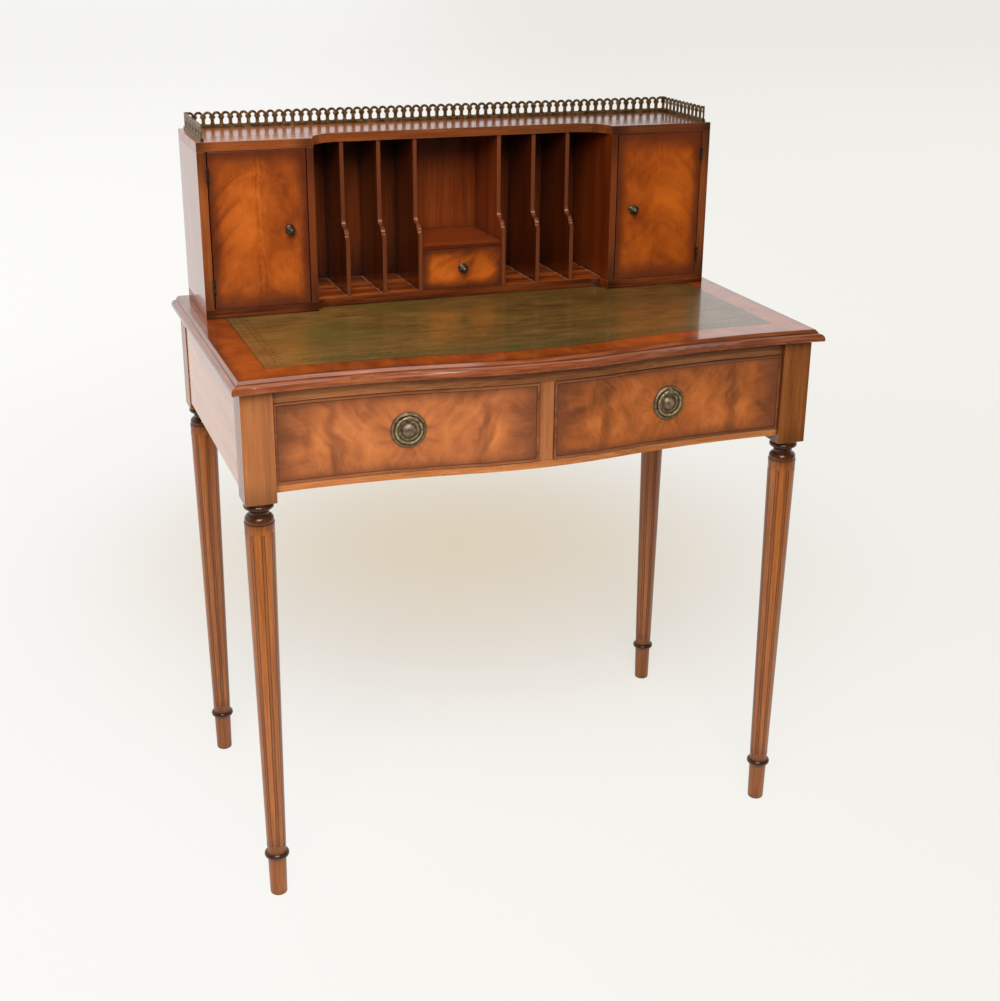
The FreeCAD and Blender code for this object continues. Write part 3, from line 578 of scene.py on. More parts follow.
def moulded_edge(g, run, inward):
    """Moulding with the grain along it, darker to the right with painted shade, and chipped on its low edge.
    """
    x, y, z = g.place()
    behind = g.math("GREATER_THAN", y, REAR_EDGE_Y)
    length = g.between(behind, run, x)
    depth = g.times(inward, g.minus(1.0, behind))
    streaks = g.noise(g.join(g.times(length, 18), g.times(depth, 260), g.times(z, 260)), 4.0)
    moulding = shaded_and_worn(g, g.tones(streaks, MOULDING, 0.3), 0.6, MOULDING_WEAR, 0.006)
    moulding = g.shade(moulding, g.span(x, -0.30, SHADE_RIGHT_X, 1.0, 0.60))
    chips = g.span(g.weave(run, z, (46, 300), 0.0, 4.0, 0.65), 0.52, 0.62)
    low_edge = g.span(z, CHIPS_HIGH_Z, CHIPS_LOW_Z)
    return g.stain(moulding, g.times(chips, low_edge, 0.6), MOULDING_CHIP)


def top_veneer():
    """Crossbanded border round the leather, and its moulding."""
    g = material_graph("top_crossband")
    run, inward = border_place(g, 0.0)
    cross = g.weave(run, inward, (240, 16), 0.0, 4.0, 0.6)
    flat = g.math("GREATER_THAN", g.place()[Z], FLAT_Z)
    colour = g.blend(flat, moulded_edge(g, run, inward), crossband(g, run, inward, cross))
    return g.finish(colour, g.span(cross, 0.3, 0.7, 0.28, 0.36), POLISH)


TOOLING_PITCH = 0.0125
TOOLING_SWING = 0.0026
TOOLING_BOW = 0.0008
TOOLING_PLACE = 0.0225
TOOLING_LINES = (0.0085, 0.0290)
DASH_HALF, LINK_HALF, FILLET_HALF = 0.0013, 0.0022, 0.0004


def hide_colour(g, x, y, inward):
    """Streaked olive hide, greener in places, painted paler on the left and darker to the right as painted
    light, and darker outside the tooling.
    """
    streaks = g.weave(x, y, (24, 190), 0.0, 6.0, 0.7, 0.4)
    bands = g.weave(x, y, (14, 84), 2.0, 5.0, 0.65, 0.4)
    clouds = g.weave(x, y, (9, 18), 0.0, 3.0, 0.55)
    colour = g.tones(g.total((streaks, 0.45), (bands, 0.30), (clouds, 0.25)), OLIVE, 0.10)
    greener = g.span(g.weave(x, y, (6, 14), 4.0, 2.0), 0.45, 0.62, 0.0, 0.55)
    colour = g.stain(colour, greener, HIDE_GREEN)
    # Painted light: paler on the left, darker on the right
    colour = g.shade(colour, g.span(x, -0.33, 0.20, 1.36, 0.88))
    return g.shade(colour, g.span(inward, TOOLING_PLACE, TOOLING_PLACE - 0.006, 1.0, 0.90))


def tooled_border(g, run, inward):
    """A chain of stamped dashes in two rows, between two fillets."""
    wave = g.math("SINE", g.times(run, 2 * math.pi / TOOLING_PITCH))
    offset = g.minus(inward, TOOLING_PLACE)
    bowed = g.plus(offset, g.times(wave, TOOLING_BOW))
    near_row = g.times(g.line(g.plus(bowed, TOOLING_SWING), DASH_HALF), g.span(wave, -0.1, 0.3))
    far_row = g.times(g.line(g.minus(bowed, TOOLING_SWING), DASH_HALF), g.span(wave, 0.1, -0.3))
    link = g.times(g.line(offset, LINK_HALF), g.line(wave, 0.22))
    fillets = g.larger(*(g.line(g.minus(inward, place), FILLET_HALF) for place in TOOLING_LINES))
    return g.larger(near_row, far_row, g.times(link, 0.7), g.times(fillets, 0.55))


def leather():
    """Olive leather with a blind-tooled border and a pebbled grain."""
    g = material_graph("olive_leather")
    x, y, z = g.place()
    run, inward = border_place(g, LEATHER_BORDER)
    tooling = tooled_border(g, run, inward)
    rubbed = g.span(g.weave(x, y, (60, 60), 9.0), 0.34, 0.6, 0.45, 1.0)
    colour = g.stain(hide_colour(g, x, y, inward), g.times(tooling, rubbed, 0.9), TOOLING_DARK)
    colour = g.stain(colour, g.span(inward, 0.0, 0.003, 0.7, 0.0), HIDE_RIM)
    cells = g.add("TexVoronoi", {"Vector": g.join(x, y, z), "Scale": 620.0}).outputs["Distance"]
    pebble = g.weave(x, y, (380, 380))
    height = g.total((cells, 0.5), (pebble, 0.5), (tooling, -1.6))
    return g.finish(colour, g.span(pebble, 0.3, 0.7, 0.34, 0.46), HIDE_WAX, g.bump(height, 0.00016, 0.22))


# Legs


def node_middle(name):
    low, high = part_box(name)
    return (low + high) / 2


LEG_FRONT = node_middle("leg_front_right")
LEG_REAR = node_middle("leg_rear_right")
LEGS_LEFT_X, LEGS_RIGHT_X = -0.36, 0.36
FLUTE_TURN = math.pi / 4
FLUTE_LOW_Z, FLUTE_HIGH_Z, FLUTE_HALF = 0.0822, 0.5523, 0.0019
LIP_HALF, GROOVE_HALF = 0.0006, 0.0008
RING_Z, RING_HALF = 0.0654, 0.0056
NECK_LOW_Z, NECK_HIGH_Z, GROOVE_Z = 0.5725, 0.5935, 0.5668
BLOCK_TONED_Z = NECK_HIGH_Z + 0.040


def flutes(g, x, y, z):
    """Towards 1 on the lips of the flutes, and weaker in their hollows."""
    behind = g.math("GREATER_THAN", y, 0.0)
    dx = g.minus(g.size(x), LEG_FRONT.x)
    dy = g.minus(y, g.plus(LEG_FRONT.y, g.times(behind, LEG_REAR.y - LEG_FRONT.y)))
    turns = g.times(g.math("ARCTAN2", dx, dy), 1 / FLUTE_TURN)
    off = g.times(g.minus(turns, g.math("ROUND", turns)), FLUTE_TURN)
    arc = g.times(g.size(off), g.length(dx, dy))
    within = g.times(g.span(z, FLUTE_LOW_Z - FLUTE_HALF, FLUTE_LOW_Z),
                     g.span(z, FLUTE_HIGH_Z + FLUTE_HALF, FLUTE_HIGH_Z))
    hollow = g.times(g.span(arc, FLUTE_HALF * 1.3, FLUTE_HALF * 0.8), 0.30)
    lips = g.times(g.line(g.minus(arc, FLUTE_HALF), LIP_HALF), 0.85)
    return g.times(g.larger(hollow, lips), within)


def turned_darks(g, z):
    """Dark polish on the ring above the foot and on the neck, and painted shade in the groove under the neck.
    """
    ring = g.span(g.size(g.minus(z, RING_Z)), RING_HALF, RING_HALF * 0.7)
    neck = g.times(g.span(z, NECK_LOW_Z - 0.010, NECK_LOW_Z + 0.002),
                   g.span(z, NECK_HIGH_Z + 0.001, NECK_HIGH_Z))
    groove = g.line(g.minus(z, GROOVE_Z), GROOVE_HALF)
    return g.larger(g.times(ring, 0.85), g.times(neck, 0.85), g.times(groove, 0.8))


def rightward(g, x, left, right):
    """A value that changes from the left legs to the right ones."""
    return g.span(x, LEGS_LEFT_X, LEGS_RIGHT_X, left, right)


def toned_and_shaded_leg(g, colour, x, z):
    """Toner under the neck and above the ring, over painted shade that deepens to the right."""
    below_neck = g.times(g.span(z, FLUTE_HIGH_Z - 0.006, GROOVE_Z), g.math("LESS_THAN", z, NECK_HIGH_Z))
    above_ring = g.times(g.span(z, FLUTE_LOW_Z + 0.022, RING_Z), g.math("GREATER_THAN", z, RING_Z))
    colour = g.shade(colour, rightward(g, x, 1.0, 0.86))
    return g.darken(colour, g.larger(g.times(below_neck, 0.38), g.times(above_ring, 0.48)))


def lit_and_shaded_block(g, colour, x, z):
    """The square block over the leg: painted light makes it paler on the left, painted shade darker on the
    right, and it is darker towards its lower end.
    """
    block = g.span(z, NECK_HIGH_Z, NECK_HIGH_Z + 0.002)
    low_end = g.span(z, BLOCK_TONED_Z, NECK_HIGH_Z)
    colour = g.darken(colour, g.times(block, low_end, rightward(g, x, 0.58, 0.28)))
    colour = g.blend(block, colour, g.shade(colour, rightward(g, x, 0.87, 0.62)))
    return g.stain(colour, g.times(block, rightward(g, x, 0.30, 0.0)), BLOCK_LIT)


def leg_wood():
    """Turned mahogany with dark flutes, a dark ring above the foot and a dark neck."""
    g = material_graph("leg_mahogany")
    axes = grain_axes(g, "z")
    x, y, z = g.place()
    bands = fibres(g, *axes, 0.40, 0.014)
    streaks = fibres(g, *axes, 0.07, 0.0022)
    colour = g.tones(g.total((bands, 0.55), (streaks, 0.45)), LEG_BROWN, 0.22)
    colour = g.stain(colour, g.times(pores(g, *axes), 0.45), VESSEL_DARK)
    colour = g.stain(colour, flutes(g, x, y, z), FLUTE_DARK)
    colour = g.stain(colour, turned_darks(g, z), TURNING_DARK)
    colour = lit_and_shaded_block(g, toned_and_shaded_leg(g, colour, x, z), x, z)
    colour = g.shade(colour, g.span(z, RING_Z - RING_HALF, RING_Z, 0.80, 1.0))
    colour = shaded_and_worn(g, colour, 0.4, LEG_WEAR)
    return g.finish(colour, g.span(streaks, 0.3, 0.7, 0.32, 0.42), THIN_POLISH)


# Brass


BRASS_CREVICE = 0.004
BRASS_ARRIS = 0.0006
BOSS_RING, BOSS_RING_HALF = 0.0098, 0.0014
PLATE_RADIUS, PLATE_RIM = 0.0238, 0.0014


def aged_brass(name, palette, roughness, metallic=0.75, last_coat=None):
    """Lacquered brass gone dark in the recesses and rubbed bright on the high spots."""
    g = material_graph(name)
    *tones, rubbed = palette
    stain = g.mottle(190, 4.0, 0.6)
    speck = g.mottle(900, 2.0)
    colour = g.tones(g.total((stain, 0.7), (speck, 0.3)), tones)
    colour = g.shade(colour, g.span(g.crevice(BRASS_CREVICE), 0.2, 0.9, 0.18, 1.0))
    colour = g.stain(colour, g.times(g.arris(BRASS_ARRIS), 0.55), rubbed)
    if last_coat:
        colour = last_coat(g, colour)
    dullness = g.span(stain, 0.3, 0.7, roughness - 0.06, roughness + 0.1)
    return g.finish(colour, dullness, {"Metallic": metallic}, g.bump(speck, 0.0001, 0.2))


def tarnish_and_groove_shade(g, colour):
    """Painted groove shade with dark tarnish in a ring round the middle of a pull's plate, and dark tarnish
    under its rim.
    """
    middle = node_middle("pull_plate_right")
    x, _, z = g.place()
    reach = g.length(g.minus(g.size(x), middle.x), g.minus(z, middle.z))
    ring = g.line(g.minus(reach, BOSS_RING), BOSS_RING_HALF)
    edge = g.span(reach, PLATE_RADIUS - PLATE_RIM, PLATE_RADIUS)
    return g.stain(colour, g.larger(g.times(ring, 0.6), g.times(edge, 0.7)), TARNISH_AND_SHADE)


# Brass pieces with finer forms than the solids that they stand for


def new_piece(name, shape, material, body, node):
    """A smooth mesh from a bmesh, riding on a body in the place of a CAD node."""
    bmesh.ops.recalc_face_normals(shape, faces=shape.faces[:])
    mesh = bpy.data.meshes.new(name)
    shape.to_mesh(mesh)
    shape.free()
    for polygon in mesh.polygons:
        polygon.use_smooth = True
    mesh.materials.append(material)
    piece = bpy.data.objects.new(name, mesh)
    bpy.context.scene.collection.objects.link(piece)
    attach(piece, body)
    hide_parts(node)


def stitch(shape, rows, closed):
    """Faces between rows of vertices, each row a closed loop."""
    after_rows = rows[1:] + rows[:1] if closed else rows[1:]
    for near, far in zip(rows, after_rows):
        for index in range(len(near)):
            after = (index + 1) % len(near)
            shape.faces.new((near[index], near[after], far[after], far[index]))


LOOP_RADIUS = 0.017
LOOP_WIRE = 0.002
WIRE_SLACK = 0.03
ROPE_TURNS = 30
ROPE_DEPTH = 0.17
ROPE_STEPS = 8
ROPE_SIDES = 14
PLAIN_TOP, PLAIN_FADE = math.radians(24), math.radians(6)
FOOT_BEAD_TURN, FOOT_BEAD_SHARE = 0.055, 0.6


def joint_named(name):
    return next(joint for joint in frame["joints"] if joint["name"] == name)


def wire_section(turn):
    """Offsets of the wire's skin, outward and forward, at one turn of the ring."""
    from_top = min(turn, 2 * math.pi - turn)
    roped = min(max((from_top - PLAIN_TOP) / PLAIN_FADE, 0), 1)
    bead = math.exp(-((from_top - math.pi) / FOOT_BEAD_TURN) ** 2)
    for number in range(ROPE_SIDES):
        angle = 2 * math.pi * number / ROPE_SIDES
        wave = 0.5 - 0.5 * math.cos(ROPE_TURNS * turn + angle)
        radius = LOOP_WIRE * (1 - roped * ROPE_DEPTH * wave - WIRE_SLACK)
        inner = max(-math.cos(angle), 0) * bead * LOOP_WIRE * FOOT_BEAD_SHARE
        yield (radius + inner) * math.cos(angle), radius * math.sin(angle)


def roped_ring(side, material):
    """A ring of roped wire, plain where it hangs in the lug and with a small bead at its foot."""
    node = f"pull_ring_{side}"
    joint = joint_named(f"{node}_swing")
    across = Vector(joint["axis"]).normalized()
    up = Vector((0, 0, 1))
    forward = up.cross(across)
    centre = Vector(joint["pos_m"]) - up * LOOP_RADIUS
    shape = bmesh.new()
    rows = []
    steps = ROPE_TURNS * ROPE_STEPS
    for step in range(steps):
        turn = 2 * math.pi * step / steps
        outward = up * math.cos(turn) + across * math.sin(turn)
        row = []
        for out, ahead in wire_section(turn):
            row.append(shape.verts.new(centre + outward * (LOOP_RADIUS + out) + forward * ahead))
        rows.append(row)
    stitch(shape, rows, True)
    new_piece(f"roped_ring_{side}", shape, material, node, node)


KNOB_SIDES = 72
KNOB_LOBES = 18
# Radius and height as shares of the knob's own, and how deep the lobes are cut there
KNOB_PROFILE_SHARES = (
    (0.96, 0.00, 0.00), (1.00, 0.03, 0.00), (1.00, 0.07, 0.00), (0.86, 0.10, 0.00), (0.55, 0.13, 0.00),
    (0.46, 0.20, 0.00), (0.44, 0.34, 0.00), (0.52, 0.42, 0.00), (0.78, 0.47, 0.03), (0.94, 0.54, 0.07),
    (0.96, 0.62, 0.08), (0.90, 0.70, 0.08), (0.78, 0.75, 0.05), (0.70, 0.755, 0.00), (0.64, 0.74, 0.00),
    (0.60, 0.76, 0.00), (0.54, 0.83, 0.00), (0.42, 0.90, 0.00), (0.32, 0.93, 0.00), (0.27, 0.925, 0.00),
    (0.23, 0.94, 0.00), (0.13, 0.985, 0.00),
)


def turned_knob(node, body, material):
    """A turned knob with a lobed rim, a sunk ring and a domed middle."""
    low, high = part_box(node)
    radius = (high.x - low.x) / 2
    height = high.y - low.y
    centre = Vector(((low.x + high.x) / 2, high.y, (low.z + high.z) / 2))
    angles = [2 * math.pi * number / KNOB_SIDES for number in range(KNOB_SIDES)]
    shape = bmesh.new()
    rows = []
    for radius_share, height_share, lobe_depth in KNOB_PROFILE_SHARES:
        row = []
        for angle in angles:
            reach = radius * (radius_share - lobe_depth * (0.5 - 0.5 * math.cos(KNOB_LOBES * angle)))
            offset = Vector((reach * math.cos(angle), -height * height_share, reach * math.sin(angle)))
            row.append(shape.verts.new(centre + offset))
        rows.append(row)
    stitch(shape, rows, False)
    shape.faces.new(rows[0])
    tip = shape.verts.new(centre - Vector((0, height, 0)))
    last = rows[-1]
    for number in range(KNOB_SIDES):
        shape.faces.new((last[number], last[(number + 1) % KNOB_SIDES], tip))
    new_piece(f"turned_{node}", shape, material, body, node)


# Dressing the CAD pieces


WELD_GAP = 0.00001
ARRIS_ANGLE = math.radians(40)
RAIL_ARRIS, DOOR_ARRIS, BOARD_ARRIS, SMALL_ARRIS = 0.0007, 0.0006, 0.0005, 0.0004


def paint(material, *names):
    for name in names:
        for slot in NODES[name].material_slots:
            slot.material = material


def soften(width, *names):
    """Rounds the sharp arrises of a board, as sanding and polishing do."""
    for name in names:
        board = NODES[name]
        board.modifiers.new("Weld", "WELD").merge_threshold = WELD_GAP
        bevel = board.modifiers.new("Arris", "BEVEL")
        bevel.width = width
        bevel.segments = 2
        bevel.limit_method = "ANGLE"
        bevel.angle_limit = ARRIS_ANGLE
        board.modifiers.new("Normals", "WEIGHTED_NORMAL").weight = 50
        for polygon in board.data.polygons:
            polygon.use_smooth = True


def dress_table():
    paint(top_veneer(), "desk_top")
    paint(leather(), "leather_top")
    paint(leg_wood(), *(f"leg_{end}_{side}" for end in ("front", "rear") for side, _ in SIDES))
    rails = ("front_top_rail", "front_bottom_rail")
    aprons = ("side_apron_left", "side_apron_right")
    runners = ("side_runner_left", "side_runner_right", "centre_runner")
    # The corner shade and the share at the right are painted shade, the top rail's reaching under the
    # moulding
    paint(straight_wood("top_rail_mahogany", "x", TOP_RAIL_BROWN, POLISH, 0.8, reach=0.024,
                        right_shade=0.54), rails[0])
    paint(straight_wood("bottom_rail_mahogany", "x", RAIL_BROWN, POLISH, 0.8, right_shade=0.74), rails[1])
    paint(straight_wood("muntin_mahogany", "z", MUNTIN, POLISH), "drawer_divider")
    # The aprons get painted light on their left outer faces
    paint(straight_wood("apron_mahogany", "y", MAHOGANY, POLISH, last_coat=lit_left_side), *aprons)
    paint(straight_wood("hidden_beech", "y", PALE_OAK, RAW), *runners)
    paint(straight_wood("back_mahogany", "x", CABINET_RED, SATIN), "back_apron")
    soften(RAIL_ARRIS, *rails, *aprons, "drawer_divider", "back_apron")


def dress_drawers():
    # Painted shade beside the bead, and towards the right
    bead = straight_wood("bead_mahogany", "x", BEAD_BROWN, POLISH, 0.75, BEAD_WEAR, 0.004, 0.70)
    oak = straight_wood("drawer_oak_y", "y", PALE_OAK, SATIN)
    oak_back = straight_wood("drawer_oak_x", "x", PALE_OAK, SATIN)
    for side, sign in SIDES:
        front = f"drawer_{side}_front"
        paint(drawer_flame(f"drawer_flame_{side}", front, 4.0 + 3.0 * sign, DRAWER_FLAMES[side]), front)
        paint(bead, f"drawer_{side}_cockbead")
        sides = (f"drawer_{side}_outer_side", f"drawer_{side}_inner_side", f"drawer_{side}_bottom")
        paint(oak, *sides)
        paint(oak_back, f"drawer_{side}_back")
        soften(BOARD_ARRIS, *sides, f"drawer_{side}_back")
    small = [f"small_drawer_{piece}" for piece in ("left_side", "right_side", "bottom", "back")]
    paint(oak, *small)
    soften(SMALL_ARRIS, *small, "small_drawer_front")
    paint(small_flame("small_drawer_flame", "small_drawer_front", 5.0), "small_drawer_front")


# Cabinet


CABINET_LOW, CABINET_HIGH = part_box("cabinet_side_left")
BAY_HALF = 0.066
RECESS_HALF, RECESS_REAR_Y = 0.30, 0.20
# Distances from the middle at which the front edges of the roof and floor are toned
TONED_X = (0.232, 0.390)
LINE_EDGES_X = (-0.1774, -0.1228, -0.0682, 0.1168, 0.1714, 0.2260)
LINES_FRONT_Y, LINES_REAR_Y = 0.120, 0.2402
ROOF_TINT = (1.35, 1.12, 0.85, 1)
GLINT_SLOPE = 0.5


def floor_edges_and_corner_lines(g, colour):
    """Darker front edge, painted light on the left end, and pale lines in the corners of the pigeonholes'
    floors.
    """
    x, y, _ = g.place()
    level = facing(g, Z, 0.5, 0.8)
    recess = g.times(g.math("LESS_THAN", g.size(x), RECESS_HALF), g.math("LESS_THAN", y, RECESS_REAR_Y))
    edge = g.larger(front_facing(g), g.times(recess, g.minus(1.0, level)))
    colour = lit_left_side(g, g.darken(colour, g.times(edge, 0.62)))
    beside = g.larger(*(g.line(g.minus(x, place - 0.0005), 0.0007) for place in LINE_EDGES_X))
    behind = g.line(g.minus(y, LINES_REAR_Y - 0.0006), 0.0009)
    patches = g.span(g.weave(x, y, (70, 70), 0.0, 2.0), 0.40, 0.58, 0.15, 0.75)
    inside = g.times(g.math("GREATER_THAN", y, LINES_FRONT_Y), level)
    return g.stain(colour, g.times(g.larger(beside, behind), patches, inside), CORNER_LINE_PALE)


def redder_roof(g, colour):
    """The upper face of the cabinet, redder than its edges, with painted light on its left end."""
    roof = g.blend(1.0, colour, ROOF_TINT, "MULTIPLY")
    return lit_left_side(g, g.blend(facing(g, Z, 0.7, 0.9), colour, roof))


def darker_front(g, colour):
    return g.darken(colour, g.times(front_facing(g), 0.6))


def darker_ends(g, colour):
    """Darker towards the head and foot of an upright board: toner on the front edges of the sides and
    partitions, painted shade on the inner face of the back board.
    """
    z = g.place()[Z]
    near = g.smaller(g.minus(z, CABINET_LOW.z), g.minus(CABINET_HIGH.z, z))
    return g.shade(colour, g.span(near, 0.0, 0.075, 0.44, 1.0))


# Toner at the ends of the front edges, and painted light on the left outer face
def cabinet_side_coat(g, colour):
    return lit_left_side(g, g.blend(front_facing(g), colour, darker_ends(g, colour)))


def partition_coat(g, colour):
    """Front edges of the partitions, darkened at their ends."""
    edge = g.stain(colour, 0.8, PARTITION_EDGE)
    return g.blend(front_facing(g), colour, darker_ends(g, edge))


def shaded_sides_lit_fronts(g, colour):
    """Painted shade on the sides within the narrow pigeonholes, painted sheen greying the front edges, and
    painted glints on the scrolls.
    """
    x, _, z = g.place()
    wide = g.size(x)
    front = facing(g, Y, -0.2, -0.5)
    colour = g.shade(colour, g.span(wide, BAY_HALF - 0.001, BAY_HALF + 0.001, 1.0, 0.46))
    colour = g.stain(colour, g.times(front, 0.7), EDGE_SHEEN)
    glint = g.times(g.line(g.minus(slope(g, Z), GLINT_SLOPE), 0.08), front)
    patches = g.span(g.noise(g.join(g.times(wide, 90), 0.0, g.times(z, 160))), 0.38, 0.6)
    return g.stain(colour, g.times(glint, patches, 0.5), GLINT_PALE)


def shaded_back(g, colour):
    """The inner face of the back board, with painted shade behind the narrow pigeonholes and towards its
    ends.
    """
    wide = g.size(g.place()[X])
    inner = g.shade(colour, g.span(wide, BAY_HALF - 0.004, BAY_HALF + 0.004, 1.0, 0.62))
    return g.blend(front_facing(g), colour, darker_ends(g, inner))


def dress_cabinet():
    boards = ("cabinet_top", "cabinet_bottom")
    sides = ("cabinet_side_left", "cabinet_side_right")
    dividers = [f"pigeonhole_divider_{number}" for number in range(1, 7)]
    partitions = ("partition_left", "partition_right")
    # Each board's share at the right is painted shade
    paint(straight_wood("cabinet_top_mahogany", "x", CABINET_RED, ROOF_POLISH, right_shade=0.36,
                        toned=TONED_X, last_coat=redder_roof), boards[0])
    paint(straight_wood("cabinet_floor_mahogany", "x", FLOOR_RED, SATIN, right_shade=0.85, contrast=0.11,
                        toned=TONED_X, last_coat=floor_edges_and_corner_lines), boards[1])
    paint(straight_wood("cabinet_side_mahogany", "z", CABINET_RED, POLISH, right_shade=0.7,
                        last_coat=cabinet_side_coat), *sides)
    paint(straight_wood("partition_mahogany", "z", LINING_RED, POLISH, right_shade=0.75,
                        last_coat=partition_coat), *partitions)
    paint(straight_wood("divider_mahogany", "z", LINING_RED, POLISH, right_shade=0.85,
                        last_coat=shaded_sides_lit_fronts), *dividers)
    paint(straight_wood("back_lining_mahogany", "z", BACK_RED, SATIN, right_shade=0.8,
                        last_coat=shaded_back), "cabinet_back")
    paint(straight_wood("shelf_mahogany", "x", LINING_RED, SATIN, last_coat=darker_front), "centre_shelf")
    soften(BOARD_ARRIS, *boards, *sides, *partitions, *dividers, "centre_shelf")


def dress_doors():
    for side, sign in SIDES:
        door = f"door_{side}"
        veneer = door_flame(f"door_flame_{side}", door, sign, 8.0 + sign, DOOR_FLAMES[side], DOOR_DRAWN[side])
        paint(veneer, door)
        soften(DOOR_ARRIS, door)


def dress_brass():
    plate = aged_brass("pull_brass", PULL_BRASS, 0.44, 0.45, tarnish_and_groove_shade)
    loop = aged_brass("ring_brass", RING_BRASS, 0.36, 0.5)
    knob = aged_brass("knob_brass", KNOB_BRASS, 0.30)
    rail = aged_brass("gallery_brass", GALLERY_BRASS, 0.34)
    hinge = aged_brass("hinge_brass", HINGE_BRASS, 0.38)
    for side, _ in SIDES:
        paint(plate, f"pull_plate_{side}", f"pull_ring_{side}")
        paint(knob, f"door_knob_{side}")
        paint(hinge, f"hinge_case_leaves_{side}", f"hinge_door_leaves_{side}")
        roped_ring(side, loop)
        turned_knob(f"door_knob_{side}", f"door_{side}", knob)
    paint(knob, "small_drawer_knob")
    turned_knob("small_drawer_knob", "small_drawer", knob)
    paint(rail, "gallery")


# Stage


CAMERA_PLACE = Vector((-0.71121, -1.99680, 1.29452))
CAMERA_YAW, CAMERA_PITCH, CAMERA_ROLL = 0.3509, -0.3686, 0.0084
CAMERA_LENS, SENSOR_WIDTH = 54.457, 36.0

# The backdrop is painted paler on the left than on the right and, by the far share, darker far off: painted
# light and shade
BACKDROP_LEFT, BACKDROP_RIGHT = srgb(253, 252, 250), srgb(243, 241, 235)
FLOOR_LIT = srgb(246, 241, 232)
SHADOW_CREAM = srgb(244, 230, 206)
ROOM_LIGHT = srgb(255, 242, 222)
DARK_FRONT = 0.06
FAR_SHARE = 0.93
BACKDROP_SLANT = -0.3
FLOOR_RADIUS, FLOOR_SIDES = 30.0, 96
SHADOW_PLACE = (0.26, 0.85)
SHADOW_TINT_PLACE, SHADOW_TINT_REACH = (0.26, 0.95), (0.85, 0.85)
# Place, target, width and power of each lamp
LAMPS = {
    "key": ((-0.75, -2.15, 2.55), (0, 0, 0.7), 1.6, 84),
    "fill": ((2.4, -2.6, 1.8), (0, 0, 0.6), 2.4, 3),
    "overhead": ((-0.35, -1.0, 3.0), (0, 0, 0.7), 1.3, 14),
}


def make_camera():
    forward = Vector((math.sin(CAMERA_YAW) * math.cos(CAMERA_PITCH),
                      math.cos(CAMERA_YAW) * math.cos(CAMERA_PITCH), math.sin(CAMERA_PITCH)))
    right = Vector((math.cos(CAMERA_YAW), -math.sin(CAMERA_YAW), 0))
    up = right.cross(forward)
    turn = Matrix((right, up, -forward)).transposed() @ Matrix.Rotation(CAMERA_ROLL, 3, "Z")
    data = bpy.data.cameras.new("camera")
    data.lens = CAMERA_LENS
    data.sensor_width = SENSOR_WIDTH
    data.sensor_fit = "HORIZONTAL"
    camera = bpy.data.objects.new("camera", data)
    camera.matrix_world = Matrix.Translation(CAMERA_PLACE) @ turn.to_4x4()
    bpy.context.scene.collection.objects.link(camera)
    bpy.context.scene.camera = camera


def ray_kind(g, kind):
    return g.add("LightPath").outputs[f"Is {kind} Ray"]


def shown_ray(g):
    """1 for rays that show the backdrop itself, directly or in a reflection."""
    return g.larger(*(ray_kind(g, kind) for kind in ("Camera", "Glossy", "Transmission")))


def floor_material():
    """Pale floor that keeps the shadow near the object and fades into the backdrop, with a painted cream
    shadow behind the desk. The backdrop is painted paler on the left and darker to the right and far off, as
    painted light and shade. The polish mirrors the unlit room before the desk."""
    g = material_graph("pale_floor")
    x, y, _ = g.place()
    drift = g.weave(x, y, (1.3, 1.3), 0.0, 2.0)
    rightness = g.span(g.plus(x, g.times(y, BACKDROP_SLANT), g.times(drift, 0.6)), -1.6, 2.2)
    backdrop = g.blend(rightness, BACKDROP_LEFT, BACKDROP_RIGHT)
    backdrop = g.shade(backdrop, g.span(y, 3.0, 14.0, 1.0, FAR_SHARE))
    painted_shadow = g.times(g.glow(x, y, SHADOW_TINT_PLACE, SHADOW_TINT_REACH), 0.9)
    backdrop = g.blend(painted_shadow, backdrop, SHADOW_CREAM)
    lit = g.add("BsdfDiffuse", {0: g.blend(painted_shadow, FLOOR_LIT, SHADOW_CREAM)})
    room = g.times(ray_kind(g, "Glossy"), g.span(y, -0.35, -1.1))
    glow = g.add("Emission", {0: backdrop, 1: g.minus(1.0, g.times(room, 1 - DARK_FRONT))})
    away = g.length(g.minus(x, SHADOW_PLACE[0]), g.minus(y, SHADOW_PLACE[1]))
    kept = g.plus(g.span(away, 0.35, 1.15, 0.70, 0.93), g.span(away, 0.9, 2.4, 0.0, 0.07))
    share = g.times(shown_ray(g), g.larger(kept, room))
    mixed = g.add("MixShader", {0: share, 1: lit.outputs[0], 2: glow.outputs[0]})
    g.add("OutputMaterial", {0: mixed.outputs[0]})
    return g.owner


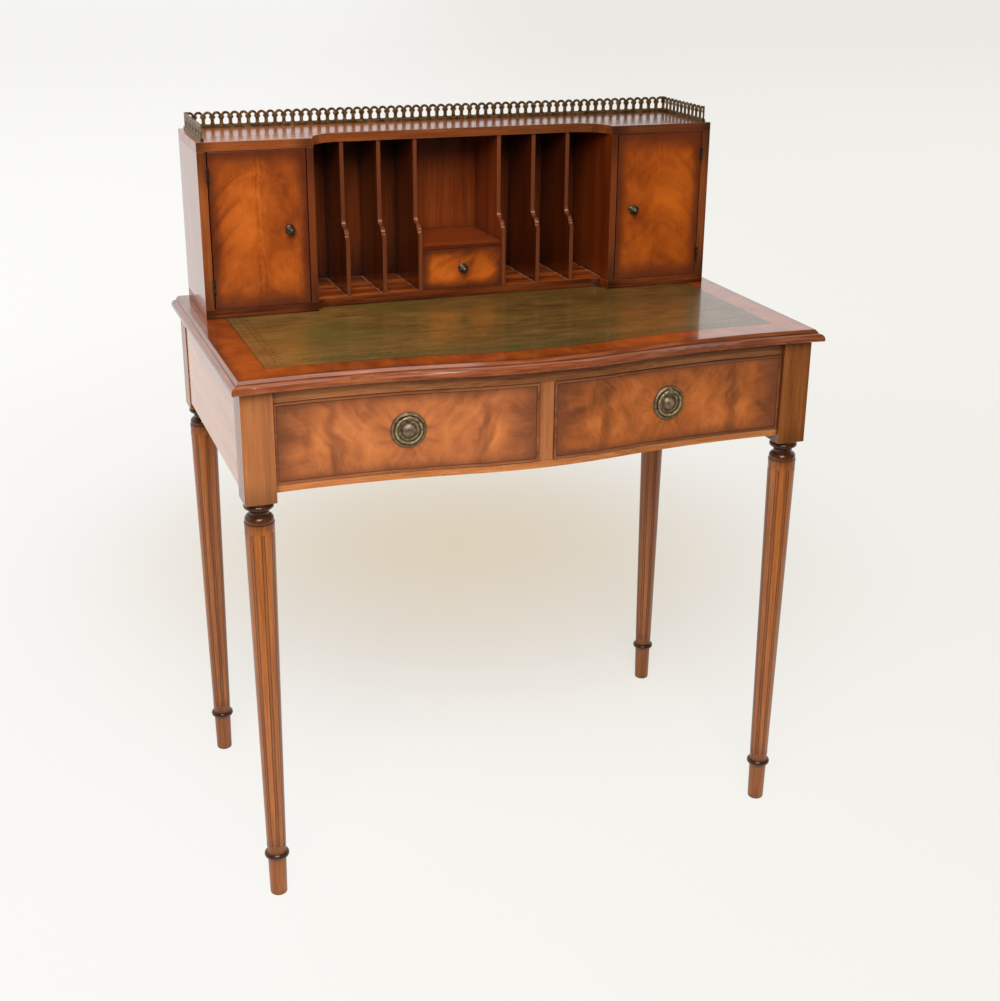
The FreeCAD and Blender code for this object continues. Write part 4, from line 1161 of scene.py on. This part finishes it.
def make_floor():
    mesh = bpy.data.meshes.new("floor")
    shape = bmesh.new()
    bmesh.ops.create_circle(shape, cap_ends=True, radius=FLOOR_RADIUS, segments=FLOOR_SIDES)
    shape.to_mesh(mesh)
    shape.free()
    mesh.materials.append(floor_material())
    floor = bpy.data.objects.new("floor", mesh)
    bpy.context.scene.collection.objects.link(floor)


def make_world():
    """White studio walls that meet the far floor unseen, and for mirrored rays an unlit room in front."""
    world = bpy.data.worlds.new("studio")
    bpy.context.scene.world = world
    g = Graph(world)
    ray = g.split(g.add("TexCoord").outputs["Generated"])
    camera = ray_kind(g, "Camera")
    shown = shown_ray(g)
    mirrored = g.span(ray[Y], -0.30, 0.35, DARK_FRONT, 1.0)
    seen = g.between(ray_kind(g, "Glossy"), 1.0, mirrored)
    # Seen directly, the walls are painted darker far off and paler on the left: painted light and shade
    seen = g.minus(seen, g.times(camera, g.span(ray[Y], -0.1, 0.4, 0.0, 1 - FAR_SHARE)))
    light = g.span(ray[X], -0.9, 0.9, 0.38, 0.20)
    rightness = g.times(camera, g.span(g.plus(ray[X], g.times(ray[Y], BACKDROP_SLANT)), -0.08, 0.11))
    backdrop = g.blend(rightness, BACKDROP_LEFT, BACKDROP_RIGHT)
    sky = g.add("Background", {0: g.blend(shown, ROOM_LIGHT, backdrop), 1: g.between(shown, light, seen)})
    g.add("OutputWorld", {0: sky.outputs[0]})


def make_lamp(name, place, target, size, power):
    data = bpy.data.lights.new(name, "AREA")
    data.shape = "RECTANGLE"
    data.size = size
    data.size_y = size
    data.energy = power
    lamp = bpy.data.objects.new(name, data)
    aim = (Vector(target) - Vector(place)).to_track_quat("-Z", "Y")
    lamp.matrix_world = Matrix.Translation(Vector(place)) @ aim.to_matrix().to_4x4()
    bpy.context.scene.collection.objects.link(lamp)


dress_table()
dress_drawers()
dress_cabinet()
dress_doors()
dress_brass()
make_floor()
make_world()
for lamp_name, lamp_look in LAMPS.items():
    make_lamp(lamp_name, *lamp_look)
make_camera()
bpy.context.scene.view_settings.view_transform = "Standard"
